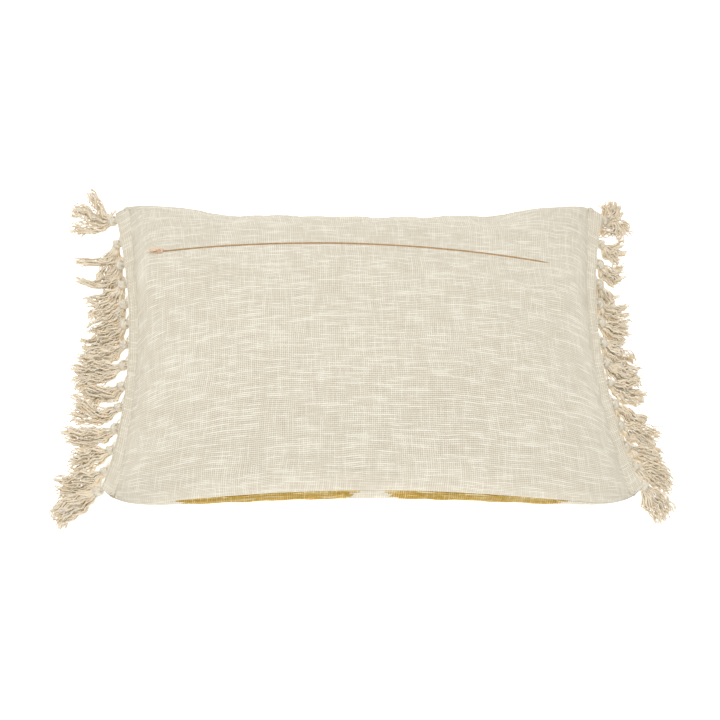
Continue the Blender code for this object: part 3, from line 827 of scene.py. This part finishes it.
def hem_rows(s, side):
    """The edge beside the slit: folded back under the panel, or beyond the slit run under the other."""
    half = slit_half_width(s)
    open_share = smoothstep(0.0, 0.5 * SLIT_HALF_WIDTH, half)
    rows = []
    for closed, open_row in zip(HEM_CLOSED_ROWS, HEM_OPEN_ROWS):
        back = closed[0] + (open_row[0] - closed[0]) * open_share
        drop = closed[1] + (open_row[1] - closed[1]) * open_share
        rows.append((t_beside_zip(s, side * (half + back)), drop))
    return rows


def make_back(name, side, row_count):
    """side is -1 for the panel below the zip and 1 for the one above it."""
    s = crowded(BACK_COLUMNS)
    band = t_beside_zip(s, side * 0.0022)
    share = np.linspace(0.0, 1.0, row_count)
    t_rows = [side + (band - side) * (1.0 - math.cos(0.5 * math.pi * k)) for k in share]
    drops = [np.zeros_like(s)] * row_count
    for t, drop in hem_rows(s, side):
        t_rows.append(t)
        drops.append(drop)
    tt = np.stack(t_rows, 1)
    dd = np.stack(drops, 1)
    if side > 0:
        tt, dd = tt[:, ::-1], dd[:, ::-1]
    ss = np.repeat(s[:, None], tt.shape[1], 1)
    points = settled(ease_to_zip(upper_form(ss, tt), ss, tt), ss, tt, True)
    points[..., 2] -= dd
    flat = flat_place(ss, tt, upper_along, upper_across)
    flat[..., 1] -= side * dd
    points, flat = turned_edges(points, flat, ("left", "right", "near" if side < 0 else "far"))
    panel = mesh_object(name, points, grid_faces(*points.shape[:2]), back_cloth, flat)
    thicken(panel, CLOTH_THICKNESS * 0.8, -1.0)
    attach(panel, "pillow")
    return panel


front_panel = make_front()
lower_back = make_back("back_cover_lower", -1, LOWER_ROWS)
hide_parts("back_panel_lower")
upper_back = make_back("back_cover_upper", 1, UPPER_ROWS)
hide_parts("back_panel_upper")


# ---------------------------------------------------------------------------------------------------
# The insert: a closed cotton casing blown full of polyester fibre, a little smaller than the cover.

INSERT_SHARE = 0.962
INSERT_CLEARANCE = 0.0060
INSERT_COLUMNS, INSERT_ROWS = 90, 64


def make_insert():
    ss, tt = crowded_grid(INSERT_COLUMNS, INSERT_ROWS)
    top = settled(ease_to_zip(upper_form(ss, tt), ss, tt), ss, tt, True)
    bottom = settled(lower_form(ss, tt), ss, tt, False)
    middle = seam_level(ss, tt)
    full = fullness(ss, tt)
    for points, sign in ((top, 1.0), (bottom, -1.0)):
        points[..., 0] *= INSERT_SHARE
        points[..., 1] *= INSERT_SHARE * 0.985
        clearance = sign * INSERT_CLEARANCE * np.minimum(full * 3.0, 1.0)
        points[..., 2] = np.where(full > 0, points[..., 2] - clearance, middle)
    top[..., 2] = np.maximum(top[..., 2], SEAM_HEIGHT)
    bottom[..., 2] = np.clip(bottom[..., 2], 0.0018, SEAM_HEIGHT)
    points, faces, _, _, inside = closed_shell(top, bottom)
    flat_all = flat_place(ss, tt, upper_along, upper_across)
    flat = np.concatenate([flat_all.reshape(-1, 2), flat_all[inside]])
    made, tree, shader = plain_shader("insert_cotton", 0.85)
    weave = place_group(tree, slub_weave, {
        "Cloth": cloth_place(tree), "Seed": 7.0, "Slub Share": 0.1, "Threads per Metre": 1500.0})
    # The weave's tone carries painted shade between and under the threads as well as the casing's own tone.
    white = [(0.2, (0.70, 0.68, 0.63)), (0.8, (0.86, 0.85, 0.81))]
    tree.links.new(tone_ramp(tree, weave.outputs["Tone and Shade"], white), shader.inputs["Base Color"])
    tree.links.new(bump(tree, weave.outputs["Height"], 0.0002), shader.inputs["Normal"])
    insert = mesh_object("cushion_insert", points, faces, made, flat)
    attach(insert, "pillow")
    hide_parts("insert_casing_front", "insert_casing_back", "polyester_filling")
    return insert


insert = make_insert()


# ---------------------------------------------------------------------------------------------------
# Plied cotton yarn, which the edge cord, the knots and the tassels are all made of: two soft plies
# twisted together. Several strands are built at a time, as tubes with a waist between the plies.

PLY_CROSSING = 0.0024
RING_SPACING = 0.00075
TUBE_SIDES = 8


def yarn_tubes(paths, radii, phases, crossing=PLY_CROSSING, sides=TUBE_SIDES, waist=0.30):
    """Points, faces and cloth places of tubes along paths of shape strands by rings by 3."""
    strands, rings = paths.shape[:2]
    steps = np.diff(paths, axis=1)
    lengths = np.linalg.norm(steps, axis=2)
    run = np.concatenate([np.zeros((strands, 1)), np.cumsum(lengths, axis=1)], 1)
    tangents = np.gradient(paths, axis=1)
    tangents /= np.linalg.norm(tangents, axis=2, keepdims=True) + 1e-12
    start = np.cross(tangents[:, 0], np.array([0.31, 0.22, 0.92]))
    side = start / (np.linalg.norm(start, axis=1, keepdims=True) + 1e-12)
    normals = np.empty_like(paths)
    for ring in range(rings):
        side = side - tangents[:, ring] * (side * tangents[:, ring]).sum(1, keepdims=True)
        side = side / (np.linalg.norm(side, axis=1, keepdims=True) + 1e-12)
        normals[:, ring] = side
    binormals = np.cross(tangents, normals)
    angle = np.linspace(0.0, 2.0 * math.pi, sides, endpoint=False)
    twist = math.pi * run / crossing + phases[:, None]
    round_about = angle[None, None, :] + twist[..., None]
    girth = radii[..., None] * (1.0 - waist + waist * np.cos(2.0 * angle)[None, None, :])
    points = (
        paths[:, :, None, :]
        + normals[:, :, None, :] * (girth * np.cos(round_about))[..., None]
        + binormals[:, :, None, :] * (girth * np.sin(round_about))[..., None]
    )
    index = np.arange(strands * rings * sides).reshape(strands, rings, sides)
    beside = np.roll(index, -1, axis=2)
    quads = np.stack([index[:, :-1], beside[:, :-1], beside[:, 1:], index[:, 1:]], -1).reshape(-1, 4)
    ends = [cap for cap in index[:, 0, ::-1].tolist()] + [cap for cap in index[:, -1].tolist()]
    own_strip = np.arange(strands)[:, None, None] * 0.01
    flat = np.stack([
        np.broadcast_to(run[..., None], index.shape),
        np.broadcast_to(angle[None, None, :] * 0.001, index.shape) + own_strip,
    ], -1)
    return points.reshape(-1, 3), quads, ends, flat.reshape(-1, 2)


class Bundle:
    """Collects several groups of tubes into one mesh."""

    def __init__(self):
        self.points, self.faces, self.flat, self.finishes, self.count = [], [], [], [], 0

    def add(self, points, quads, ends, flat, finish=0):
        self.points.append(points)
        self.flat.append(flat)
        self.faces.extend((quads + self.count).tolist())
        self.faces.extend([[corner + self.count for corner in cap] for cap in ends])
        self.finishes.extend([finish] * (len(quads) + len(ends)))
        self.count += len(points)

    def build(self, name, *finishes):
        mesh = bpy.data.meshes.new(name)
        points, flat = np.concatenate(self.points), np.concatenate(self.flat)
        mesh.from_pydata(points.tolist(), [], self.faces)
        for finish in finishes:
            mesh.materials.append(finish)
        mesh.polygons.foreach_set("material_index", self.finishes)
        return finished_object(name, mesh, flat)


def yarn_finish(name, dark, middle, light):
    """Matt cotton yarn, with fine fibres along it and warmer patches."""
    made, tree, shader = plain_shader(name, 0.95)
    nodes, links = tree.nodes, tree.links
    stretch = nodes.new("ShaderNodeVectorMath")
    stretch.operation = "MULTIPLY"
    stretch.inputs[1].default_value = (700.0, 3500.0, 1.0)
    links.new(cloth_place(tree), stretch.inputs[0])
    fibres = nodes.new("ShaderNodeTexNoise")
    fibres.inputs["Scale"].default_value = 1.0
    fibres.inputs["Detail"].default_value = 3.0
    links.new(stretch.outputs[0], fibres.inputs["Vector"])
    object_place = nodes.new("ShaderNodeTexCoord")
    patches = nodes.new("ShaderNodeTexNoise")
    patches.inputs["Scale"].default_value = 120.0
    patches.inputs["Detail"].default_value = 2.0
    links.new(object_place.outputs["Object"], patches.inputs["Vector"])
    math_of = sums_in(tree)
    blend = math_of("MULTIPLY_ADD", fibres.outputs[0], 0.55, math_of("MULTIPLY", patches.outputs[0], 0.45))
    colour = tone_ramp(tree, blend, [(0.30, dark), (0.50, middle), (0.70, light)])
    links.new(colour, shader.inputs["Base Color"])
    links.new(bump(tree, fibres.outputs[0], 0.00018), shader.inputs["Normal"])
    shader.inputs["Sheen Weight"].default_value = 0.12
    shader.inputs["Sheen Tint"].default_value = (1.0, 0.90, 0.76, 1.0)
    return made


tassel_yarn = yarn_finish("tassel_yarn", (0.880, 0.690, 0.450), (0.940, 0.840, 0.670), (0.960, 0.910, 0.795))
knot_yarn = yarn_finish("knot_yarn", (0.790, 0.705, 0.555), (0.870, 0.805, 0.675), (0.915, 0.870, 0.765))


# ---------------------------------------------------------------------------------------------------
# The flanges: on each short side the cover's two cloths go on past the seam as a flat band, closed
# at its outer edge by a twisted cord, where the warp threads come out for the tassels.

FLANGE_WIDTH = 0.010
FLANGE_GAP = 0.0004
FLANGE_THICKNESS = 0.0017
FLANGE_TUCK = 0.0038
FLANGE_FILLET = 0.0026
FLANGE_END_DRAW = 0.034
FLANGE_ROWS = 220
CORD_RADIUS = 0.00105


def side_seam(side, y):
    """Points on the side seam, and the outward direction in plan at each."""
    half = half_width_at(np.array(1.0))
    t = y / half
    x, y = plan_place(side * np.ones_like(t), t)
    slope = side * 2.0 * SHORT_SIDE_PULL_IN * t / half
    outward = np.stack([side * np.ones_like(t), -side * slope, np.zeros_like(t)], -1)
    outward /= np.linalg.norm(outward, axis=-1, keepdims=True)
    return np.stack([x, y, seam_level(side * np.ones_like(t), t)], -1), outward


def make_flange(side, side_name):
    half = float(half_width_at(np.array(1.0)))
    y = np.linspace(-half, half, FLANGE_ROWS)
    seam, outward = side_seam(side, y)
    inner, outer = -FLANGE_TUCK, FLANGE_GAP + FLANGE_WIDTH
    ring = []
    thick = FLANGE_THICKNESS / 2.0
    reaches = np.linspace(inner, outer - thick, 9)
    for reach in reaches:
        rise = thick * (0.55 + 0.45 * smoothstep(0.0, 0.004, reach))
        ring.append((reach, rise))
    for turn_share in (0.25, 0.5, 0.75):
        angle = math.pi * (0.5 - turn_share)
        ring.append((outer - thick + thick * math.cos(angle), thick * math.sin(angle)))
    for reach in reaches[::-1]:
        rise = thick * (0.55 + 0.45 * smoothstep(0.0, 0.004, reach))
        ring.append((reach, -rise))
    wobble = 0.0005 * np.sin(y * 212.0 + side) + 0.0004 * np.sin(y * 97.0 + 2.0)
    points = np.empty((len(ring), FLANGE_ROWS, 3))
    flat = np.empty((len(ring), FLANGE_ROWS, 2))
    for number, (reach, rise) in enumerate(ring):
        out_share = np.clip(reach / FLANGE_WIDTH, 0.0, 1.0)
        points[number] = seam + outward * reach
        points[number, :, 1] *= 1.0 - FLANGE_END_DRAW * out_share
        points[number, :, 2] += rise + wobble * out_share
        if rise > 0.0:
            points[number, :, 2] += FLANGE_FILLET * (1.0 - smoothstep(-0.0025, 0.0035, reach))
        flat[number, :, 0] = side * (FLAT_HALF_LENGTH + reach)
        flat[number, :, 1] = y * FLAT_HALF_WIDTH / half
    index = np.arange(points.shape[0] * points.shape[1]).reshape(points.shape[:2])
    closing = np.stack([index[-1, :-1], index[0, :-1], index[0, 1:], index[-1, 1:]], -1)
    faces = np.concatenate([grid_faces(*points.shape[:2]), closing])
    flange = mesh_object(f"flange_{side_name}", points, faces, back_cloth, flat)
    shell = bmesh.new()
    shell.from_mesh(flange.data)
    bmesh.ops.holes_fill(shell, edges=shell.edges)
    bmesh.ops.recalc_face_normals(shell, faces=shell.faces)
    shell.to_mesh(flange.data)
    shell.free()
    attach(flange, "pillow")
    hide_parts(f"side_flange_{side_name}")

    dense = np.linspace(-half, half, int(2.0 * half / RING_SPACING))
    seam, outward = side_seam(side, dense)
    path = seam + outward * (outer + CORD_RADIUS * 0.1)
    path[:, 1] *= 1.0 - FLANGE_END_DRAW
    path[:, 2] += 0.0004 + 0.0005 * np.sin(dense * 212.0 + side) + 0.0004 * np.sin(dense * 97.0 + 2.0)
    cord = Bundle()
    for offset in (0.0, 1.0):
        around = math.pi * dense / 0.0042 + offset * math.pi
        strand = path + outward * (0.00062 * np.cos(around))[:, None]
        strand[:, 2] += 0.00062 * np.sin(around)
        girth = np.full((1, len(dense)), 0.00072)
        cord.add(*yarn_tubes(strand[None], girth, np.array([offset]), waist=0.16))
    edge_cord = cord.build(f"edge_cord_{side_name}", knot_yarn)
    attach(edge_cord, "pillow")
    return flange, edge_cord


side_trim = [*make_flange(-1, "left"), *make_flange(1, "right")]


# ---------------------------------------------------------------------------------------------------
# The tassels: the warp threads are gathered in a fan, tied in one knot and left long. The skirt is
# kinked two-ply yarn that parts into locks; each tassel swings about the flange's edge.

NECK_THREADS = 8
NECK_HALF_SPREAD = 0.0085
NECK_THREAD_RADIUS = 0.00058
KNOT_DISTANCE = 0.0110
REST_DROOP = math.radians(60.0)
KNOT_RADIUS = 0.0060
KNOT_WRAPS = 9
KNOT_WRAP_REACH = 0.0036
STRAND_RADIUS = 0.00088
STRAND_STRAY = 0.038
STRAND_EXTRA = 1.65
SKIRT_RADIUS = 0.0084
SKIRT_FLARE = 0.72
CRIMP = 0.0013
UP = np.array([0.0, 0.0, 1.0])

# Each tassel's locks: how many strands, the turn towards the near side at the knot and at the tips,
# the droop at the knot and at the tips, all in degrees, and the length in millimetres.
LEFT_TASSELS = [
    [(12, -20, -45, -25, -38, 48), (17, 0, -18, 0, -5, 56), (9, 20, 8, 10, 5, 54), (6, 45, 15, 15, 10, 46),
     (5, -50, -110, -25, -20, 18)],
    [(20, 75, 0, 40, 5, 58), (20, 82, 66, 42, 25, 54)],
    [(18, 65, -8, 40, 5, 62), (22, 80, 62, 40, 25, 54)],
    [(24, 74, 35, 40, 15, 54), (16, 45, 8, 35, 10, 52)],
    [(24, 70, 12, 38, 15, 54), (16, 60, 40, 35, 20, 50)],
    [(26, 38, 15, 28, 12, 58), (14, 55, 20, 30, 15, 48)],
    [(26, 32, 10, 25, 10, 54), (14, 12, 5, 20, 10, 50)],
    [(24, 10, -5, 12, 4, 60), (18, 25, 18, 20, 6, 62)],
    [(34, 38, -25, 18, 12, 52), (8, 10, 40, 15, 15, 50)],
    [(26, 25, -30, 12, 0, 58), (14, 22, -2, 15, 5, 58)],
    [(26, 15, -8, 12, 2, 60), (16, 30, 8, 18, 8, 50)],
    [(26, 15, 22, 12, 10, 50), (14, -5, 12, 10, 8, 46)],
    [(21, 20, 0, 10, 5, 56), (21, 28, 24, 15, 8, 58)],
    [(40, 24, 22, 17, 17, 56)],
]
RIGHT_TASSELS = [
    [(12, -20, -60, -10, -36, 34), (14, 0, -42, 0, -15, 34), (16, -35, 110, 0, 10, 42),
     (12, 20, -120, 10, -5, 42), (14, -25, 190, 5, 15, 44), (12, 10, 32, 10, 5, 38),
     (10, -40, -100, -25, -15, 26), (10, -10, -80, -35, -15, 30)],
    [(18, 35, -25, 32, 12, 34), (18, 50, 5, 35, 15, 36), (8, 70, 40, 35, 20, 34)],
    [(18, 35, -12, 32, 12, 36), (18, 50, 15, 35, 15, 36), (8, 75, 45, 35, 20, 34)],
    [(30, 80, 60, 42, 50, 40), (12, 60, 10, 45, 30, 32)],
    [(20, 40, -15, 30, 10, 36), (18, 55, 5, 35, 12, 38), (6, 80, 60, 35, 25, 34)],
    [(20, 20, -12, 25, 8, 38), (20, 45, 10, 30, 12, 38)],
    [(14, 10, -22, 30, 15, 32), (26, 45, 18, 30, 12, 46)],
    [(22, 30, -5, 25, 12, 44), (20, 45, 15, 25, 12, 46)],
    [(18, 5, -8, 20, 10, 42), (22, 30, 18, 22, 10, 46)],
    [(24, 45, 28, 25, 15, 42), (16, 15, 35, 25, 15, 42)],
    [(22, 15, 5, 20, 12, 50), (18, 45, 25, 22, 14, 48)],
    [(20, 15, 5, 20, 12, 46), (20, 40, 18, 22, 12, 50)],
    [(20, -5, 5, 15, 10, 48), (20, 25, 22, 18, 10, 50)],
    [(40, 38, 30, 30, 30, 45)],
]


def heading_of(outward, nearward, droop, turn_near):
    """A direction drooping by droop and turned towards the near side, in radians; arrays welcome."""
    level = np.multiply.outer(np.cos(turn_near), outward) + np.multiply.outer(np.sin(turn_near), nearward)
    return level * np.cos(droop)[..., None] - np.multiply.outer(np.sin(droop), UP)


def make_tassel(side_name, number, locks):
    random = np.random.default_rng(1000 * (side_name == "right") + number)
    body = f"tassel_{side_name}_{number:02d}"
    joint = joints[body + "_swing"]
    hinge = np.array(joint["pos_m"])
    along_edge = np.array(joint["axis"])
    outward = np.cross(UP, along_edge)
    nearward = np.array([0.0, -1.0, 0.0])
    nearward = nearward - outward * (nearward @ outward)
    nearward /= np.linalg.norm(nearward)
    tassel_line = math.cos(REST_DROOP) * outward - math.sin(REST_DROOP) * UP
    face_line = np.cross(tassel_line, along_edge)
    knot = hinge + tassel_line * KNOT_DISTANCE
    bundle = Bundle()

    places = np.linspace(-1.0, 1.0, NECK_THREADS)
    u = np.linspace(0.0, 1.0, 22)[None, :, None]
    roots = hinge + np.multiply.outer(places * NECK_HALF_SPREAD, along_edge) - outward * 0.0008
    gather = knot - tassel_line * KNOT_WRAP_REACH + np.multiply.outer(places * 0.0022, along_edge)
    gather = gather + np.multiply.outer(random.uniform(-0.0012, 0.0012, NECK_THREADS), face_line)
    neck = roots[:, None] * (1.0 - u) + gather[:, None] * u
    neck = neck + UP * (0.0016 * np.sin(math.pi * u)) + outward * (0.0008 * np.sin(math.pi * u))
    neck_radii = np.full(neck.shape[:2], NECK_THREAD_RADIUS)
    bundle.add(*yarn_tubes(neck, neck_radii, random.uniform(0, 6, NECK_THREADS)), finish=1)

    phi = np.linspace(0.0, 2.0 * math.pi, 30)
    offsets = np.linspace(-KNOT_WRAP_REACH, KNOT_WRAP_REACH, KNOT_WRAPS)
    tilt = random.uniform(0.15, 0.45) * random.choice([-1, 1])
    loops = np.empty((KNOT_WRAPS, len(phi), 3))
    for wrap, offset in enumerate(offsets):
        girth = (KNOT_RADIUS - 0.0007) * math.sqrt(max(1.0 - (offset / 0.0052) ** 2, 0.05))
        lean = offset + girth * math.tan(tilt) * np.cos(phi + 0.4)
        loops[wrap] = (
            knot
            + np.multiply.outer(lean * 0.85, tassel_line)
            + np.multiply.outer(girth * 1.06 * np.cos(phi), along_edge)
            + np.multiply.outer(girth * 0.96 * np.sin(phi), face_line)
        )
    loop_radii = np.full(loops.shape[:2], 0.00078)
    bundle.add(*yarn_tubes(loops, loop_radii, random.uniform(0, 6, KNOT_WRAPS), waist=0.14), finish=1)
    core_angle = np.linspace(-0.5 * math.pi, 0.5 * math.pi, 12)
    core_path = knot + np.multiply.outer(0.0046 * np.sin(core_angle), tassel_line)
    core_girth = 0.0040 * np.cos(core_angle) + 0.0002
    bundle.add(*yarn_tubes(core_path[None], core_girth[None], np.zeros(1), waist=0.0, sides=14), finish=1)
    crossing = np.linspace(-1.2, 1.2, 26)
    band = np.empty((3, len(crossing), 3))
    lead = random.uniform(-0.5, 0.5)
    for strand in range(3):
        around = lead + 0.24 * (strand - 1) + 0.9 * crossing * np.sign(tilt)
        lift = 0.0040 * np.sin(crossing * 1.25)
        girth = (KNOT_RADIUS + 0.0002) * np.sqrt(np.clip(1.0 - (lift / 0.0058) ** 2, 0.05, 1.0))
        band[strand] = (
            knot
            + np.multiply.outer(lift, tassel_line)
            + (girth * 1.04 * np.sin(around))[:, None] * along_edge
            + (girth * np.cos(around))[:, None] * face_line * -1.0
        )
    band_radii = np.full(band.shape[:2], 0.0008)
    bundle.add(*yarn_tubes(band, band_radii, random.uniform(0, 6, 3), waist=0.14), finish=1)

    for strands, turn_from, turn_to, droop_from, droop_to, length in locks:
        strands = round(strands * STRAND_EXTRA)
        turn_from, turn_to, droop_from, droop_to = np.radians([turn_from, turn_to, droop_from, droop_to])
        length = length / 1000.0
        rings = max(int(length / RING_SPACING), 24)
        share = np.linspace(0.0, 1.0, rings)
        ease = smoothstep(0.0, 0.70, share)
        own_turn = random.normal(0.0, STRAND_STRAY, strands)
        own_droop = random.normal(0.0, STRAND_STRAY, strands)
        turn_run = turn_from + (turn_to - turn_from) * ease[None, :] + own_turn[:, None] * (0.3 + share)
        droop_run = droop_from + (droop_to - droop_from) * ease[None, :] + own_droop[:, None] * (0.3 + share)
        sway = random.uniform(0.0, 6.28, 2)
        sway_size = random.uniform(0.20, 0.45, 2)
        beat = random.uniform(6.0, 9.5, 2)
        turn_run = turn_run + sway_size[0] * np.sin(share * beat[0] + sway[0]) * share
        droop_run = droop_run + sway_size[1] * np.sin(share * beat[1] + sway[1]) * share
        headings = heading_of(outward, nearward, droop_run, turn_run)
        own_length = length * random.uniform(0.84, 1.03, strands)
        paths = np.cumsum(headings * (own_length / rings)[:, None, None], axis=1)
        paths = paths - paths[:, :1]
        first = headings[:, 0].mean(0)
        first /= np.linalg.norm(first)
        side_a = np.cross(first, UP)
        side_a /= np.linalg.norm(side_a)
        side_b = np.cross(first, side_a)
        disc_angle = random.uniform(0.0, 2.0 * math.pi, strands)
        disc = SKIRT_RADIUS * math.sqrt(strands / 40.0) * np.sqrt(random.uniform(0.0, 1.0, strands))
        centre = random.uniform(-0.5, 0.5, 2) * SKIRT_RADIUS * (1.0 - math.sqrt(strands / 40.0))
        rooted = (
            np.multiply.outer(1.25 * disc * np.cos(disc_angle) + centre[0], side_a)
            + np.multiply.outer(0.80 * disc * np.sin(disc_angle) + centre[1], side_b)
        )
        fan = 0.42 + SKIRT_FLARE * smoothstep(0.0, 0.45, share)[None, :, None]
        paths = paths + knot + tassel_line * 0.0034 + rooted[:, None] * fan
        run = share[None, :] * own_length[:, None]
        growing = smoothstep(0.04, 0.28, share)[None, :]
        lock_phase = random.uniform(0.0, 6.28)
        for crimp, wave_length, stray in ((CRIMP, 0.0150, 0.35), (CRIMP * 0.22, 0.0068, 1.2)):
            lengths = wave_length * random.uniform(0.85, 1.2, strands)[:, None]
            phase = lock_phase + random.normal(0.0, stray, strands)[:, None]
            size = crimp * random.uniform(0.7, 1.2, strands)[:, None] * growing
            wave = 2.0 * math.pi * run / lengths + phase
            paths = paths + (size * np.cos(wave))[..., None] * side_a
            paths = paths + (size * np.sin(wave))[..., None] * side_b
        paths[..., 2] = np.maximum(paths[..., 2], 0.0012 + 0.0009 * random.uniform(0, 1, strands)[:, None])
        radii = np.full(paths.shape[:2], STRAND_RADIUS) * random.uniform(0.88, 1.12, strands)[:, None]
        radii = radii * (1.0 - 0.35 * smoothstep(0.97, 1.0, share))[None, :]
        bundle.add(*yarn_tubes(paths, radii, random.uniform(0, 6, strands), waist=0.18))

    tassel = bundle.build(f"knotted_{body}", tassel_yarn, knot_yarn)
    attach(tassel, body)
    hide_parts(body)
    return tassel


for side_name, habits in (("left", LEFT_TASSELS), ("right", RIGHT_TASSELS)):
    for number, locks in enumerate(habits, start=1):
        make_tassel(side_name, number, locks)


# ---------------------------------------------------------------------------------------------------
# The zip: woven tapes, nylon coils, and a lacquered metal slider with its pull. The tapes, stops,
# slider and pull are the model's own solids; each coil is wound here as one monofilament.

COIL_PITCH = 0.00125
COIL_WIRE = 0.00036
COIL_STEPS = 14


def metal_finish(name, colour):
    made, tree, shader = plain_shader(name, 0.42)
    nodes, links = tree.nodes, tree.links
    place = nodes.new("ShaderNodeTexCoord")
    wear = nodes.new("ShaderNodeTexNoise")
    wear.inputs["Scale"].default_value = 900.0
    wear.inputs["Detail"].default_value = 3.0
    links.new(place.outputs["Object"], wear.inputs["Vector"])
    light = tuple(min(1.0, channel * 1.25) for channel in colour)
    dark = tuple(channel * 0.75 for channel in colour)
    worn = tone_ramp(tree, wear.outputs[0], [(0.35, dark), (0.5, colour), (0.66, light)])
    links.new(worn, shader.inputs["Base Color"])
    links.new(bump(tree, wear.outputs[0], 0.00008), shader.inputs["Normal"])
    shader.inputs["Metallic"].default_value = 0.35
    shader.inputs["Specular IOR Level"].default_value = 0.5
    return made


def tape_finish():
    made, tree, shader = plain_shader("zip_tape_twill", 0.9)
    nodes, links = tree.nodes, tree.links
    place = nodes.new("ShaderNodeTexCoord")
    ribs = nodes.new("ShaderNodeTexWave")
    ribs.wave_type = "BANDS"
    ribs.bands_direction = "DIAGONAL"
    ribs.inputs["Scale"].default_value = 900.0
    ribs.inputs["Distortion"].default_value = 0.4
    links.new(place.outputs["Object"], ribs.inputs["Vector"])
    # Painted shade: the twill's ribs are lighter on their crests and darker in the grooves between them,
    # following the same bands as the bump.
    tans = [(0.1, (0.400, 0.250, 0.130)), (0.9, (0.560, 0.370, 0.215))]
    links.new(tone_ramp(tree, ribs.outputs["Fac"], tans), shader.inputs["Base Color"])
    links.new(bump(tree, ribs.outputs["Fac"], 0.0001), shader.inputs["Normal"])
    return made


def coil_finish():
    made, tree, shader = plain_shader("nylon_coil", 0.38)
    nodes, links = tree.nodes, tree.links
    place = nodes.new("ShaderNodeTexCoord")
    cloudy = nodes.new("ShaderNodeTexNoise")
    cloudy.inputs["Scale"].default_value = 400.0
    links.new(place.outputs["Object"], cloudy.inputs["Vector"])
    tans = [(0.35, (0.600, 0.350, 0.150)), (0.65, (0.700, 0.470, 0.250))]
    links.new(tone_ramp(tree, cloudy.outputs[0], tans), shader.inputs["Base Color"])
    links.new(bump(tree, cloudy.outputs[0], 0.00005), shader.inputs["Normal"])
    shader.inputs["Specular IOR Level"].default_value = 0.5
    return made


zip_metal = metal_finish("lacquered_zip_metal", (0.860, 0.640, 0.460))
zip_tape = tape_finish()
nylon = coil_finish()
for node, finish in (
    ("zip_tape_lower", zip_tape), ("zip_tape_upper", zip_tape),
    ("zip_top_stop_lower", zip_metal), ("zip_top_stop_upper", zip_metal), ("zip_bottom_stop", zip_metal),
    ("zip_slider", zip_metal), ("zip_pull", zip_metal),
):
    part = frame["nodes"][node]
    part.data.materials.clear()
    part.data.materials.append(finish)


def on_zip(along, across, out):
    """Points from distances along the zip's arc, across it and out of the cloth."""
    turned = along / ZIP_RADIUS
    radial = np.multiply.outer(np.sin(turned), zip_heading) + np.multiply.outer(np.cos(turned), UP)
    beside = math.cos(ZIP_TILT) * zip_axle - math.sin(ZIP_TILT) * radial
    proud = math.sin(ZIP_TILT) * zip_axle + math.cos(ZIP_TILT) * radial
    return zip_centre + ZIP_RADIUS * radial + across[..., None] * beside + out[..., None] * proud


def make_coil(side, side_name):
    """side is -1 for the lower half. The loops lie flat, with their heads towards the middle."""
    end = ZIP_LENGTH / 2.0 - 0.0023
    turns = int(2.0 * end / COIL_PITCH)
    around = np.linspace(0.0, 2.0 * math.pi * turns, turns * COIL_STEPS)
    along = -end + COIL_PITCH * around / (2.0 * math.pi) + (0.5 * COIL_PITCH if side > 0 else 0.0)
    across = side * (0.00122 - 0.00117 * np.cos(around))
    out = -0.0007 + 0.00030 * np.sin(around)
    path = on_zip(along, across, out)
    coil = Bundle()
    coil.add(*yarn_tubes(path[None], np.full((1, len(path)), COIL_WIRE), np.zeros(1), sides=6, waist=0.0))
    made = coil.build(f"nylon_coil_{side_name}", nylon)
    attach(made, "pillow")
    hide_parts(f"zip_coil_{side_name}")
    return made


coils = [make_coil(-1, "lower"), make_coil(1, "upper")]
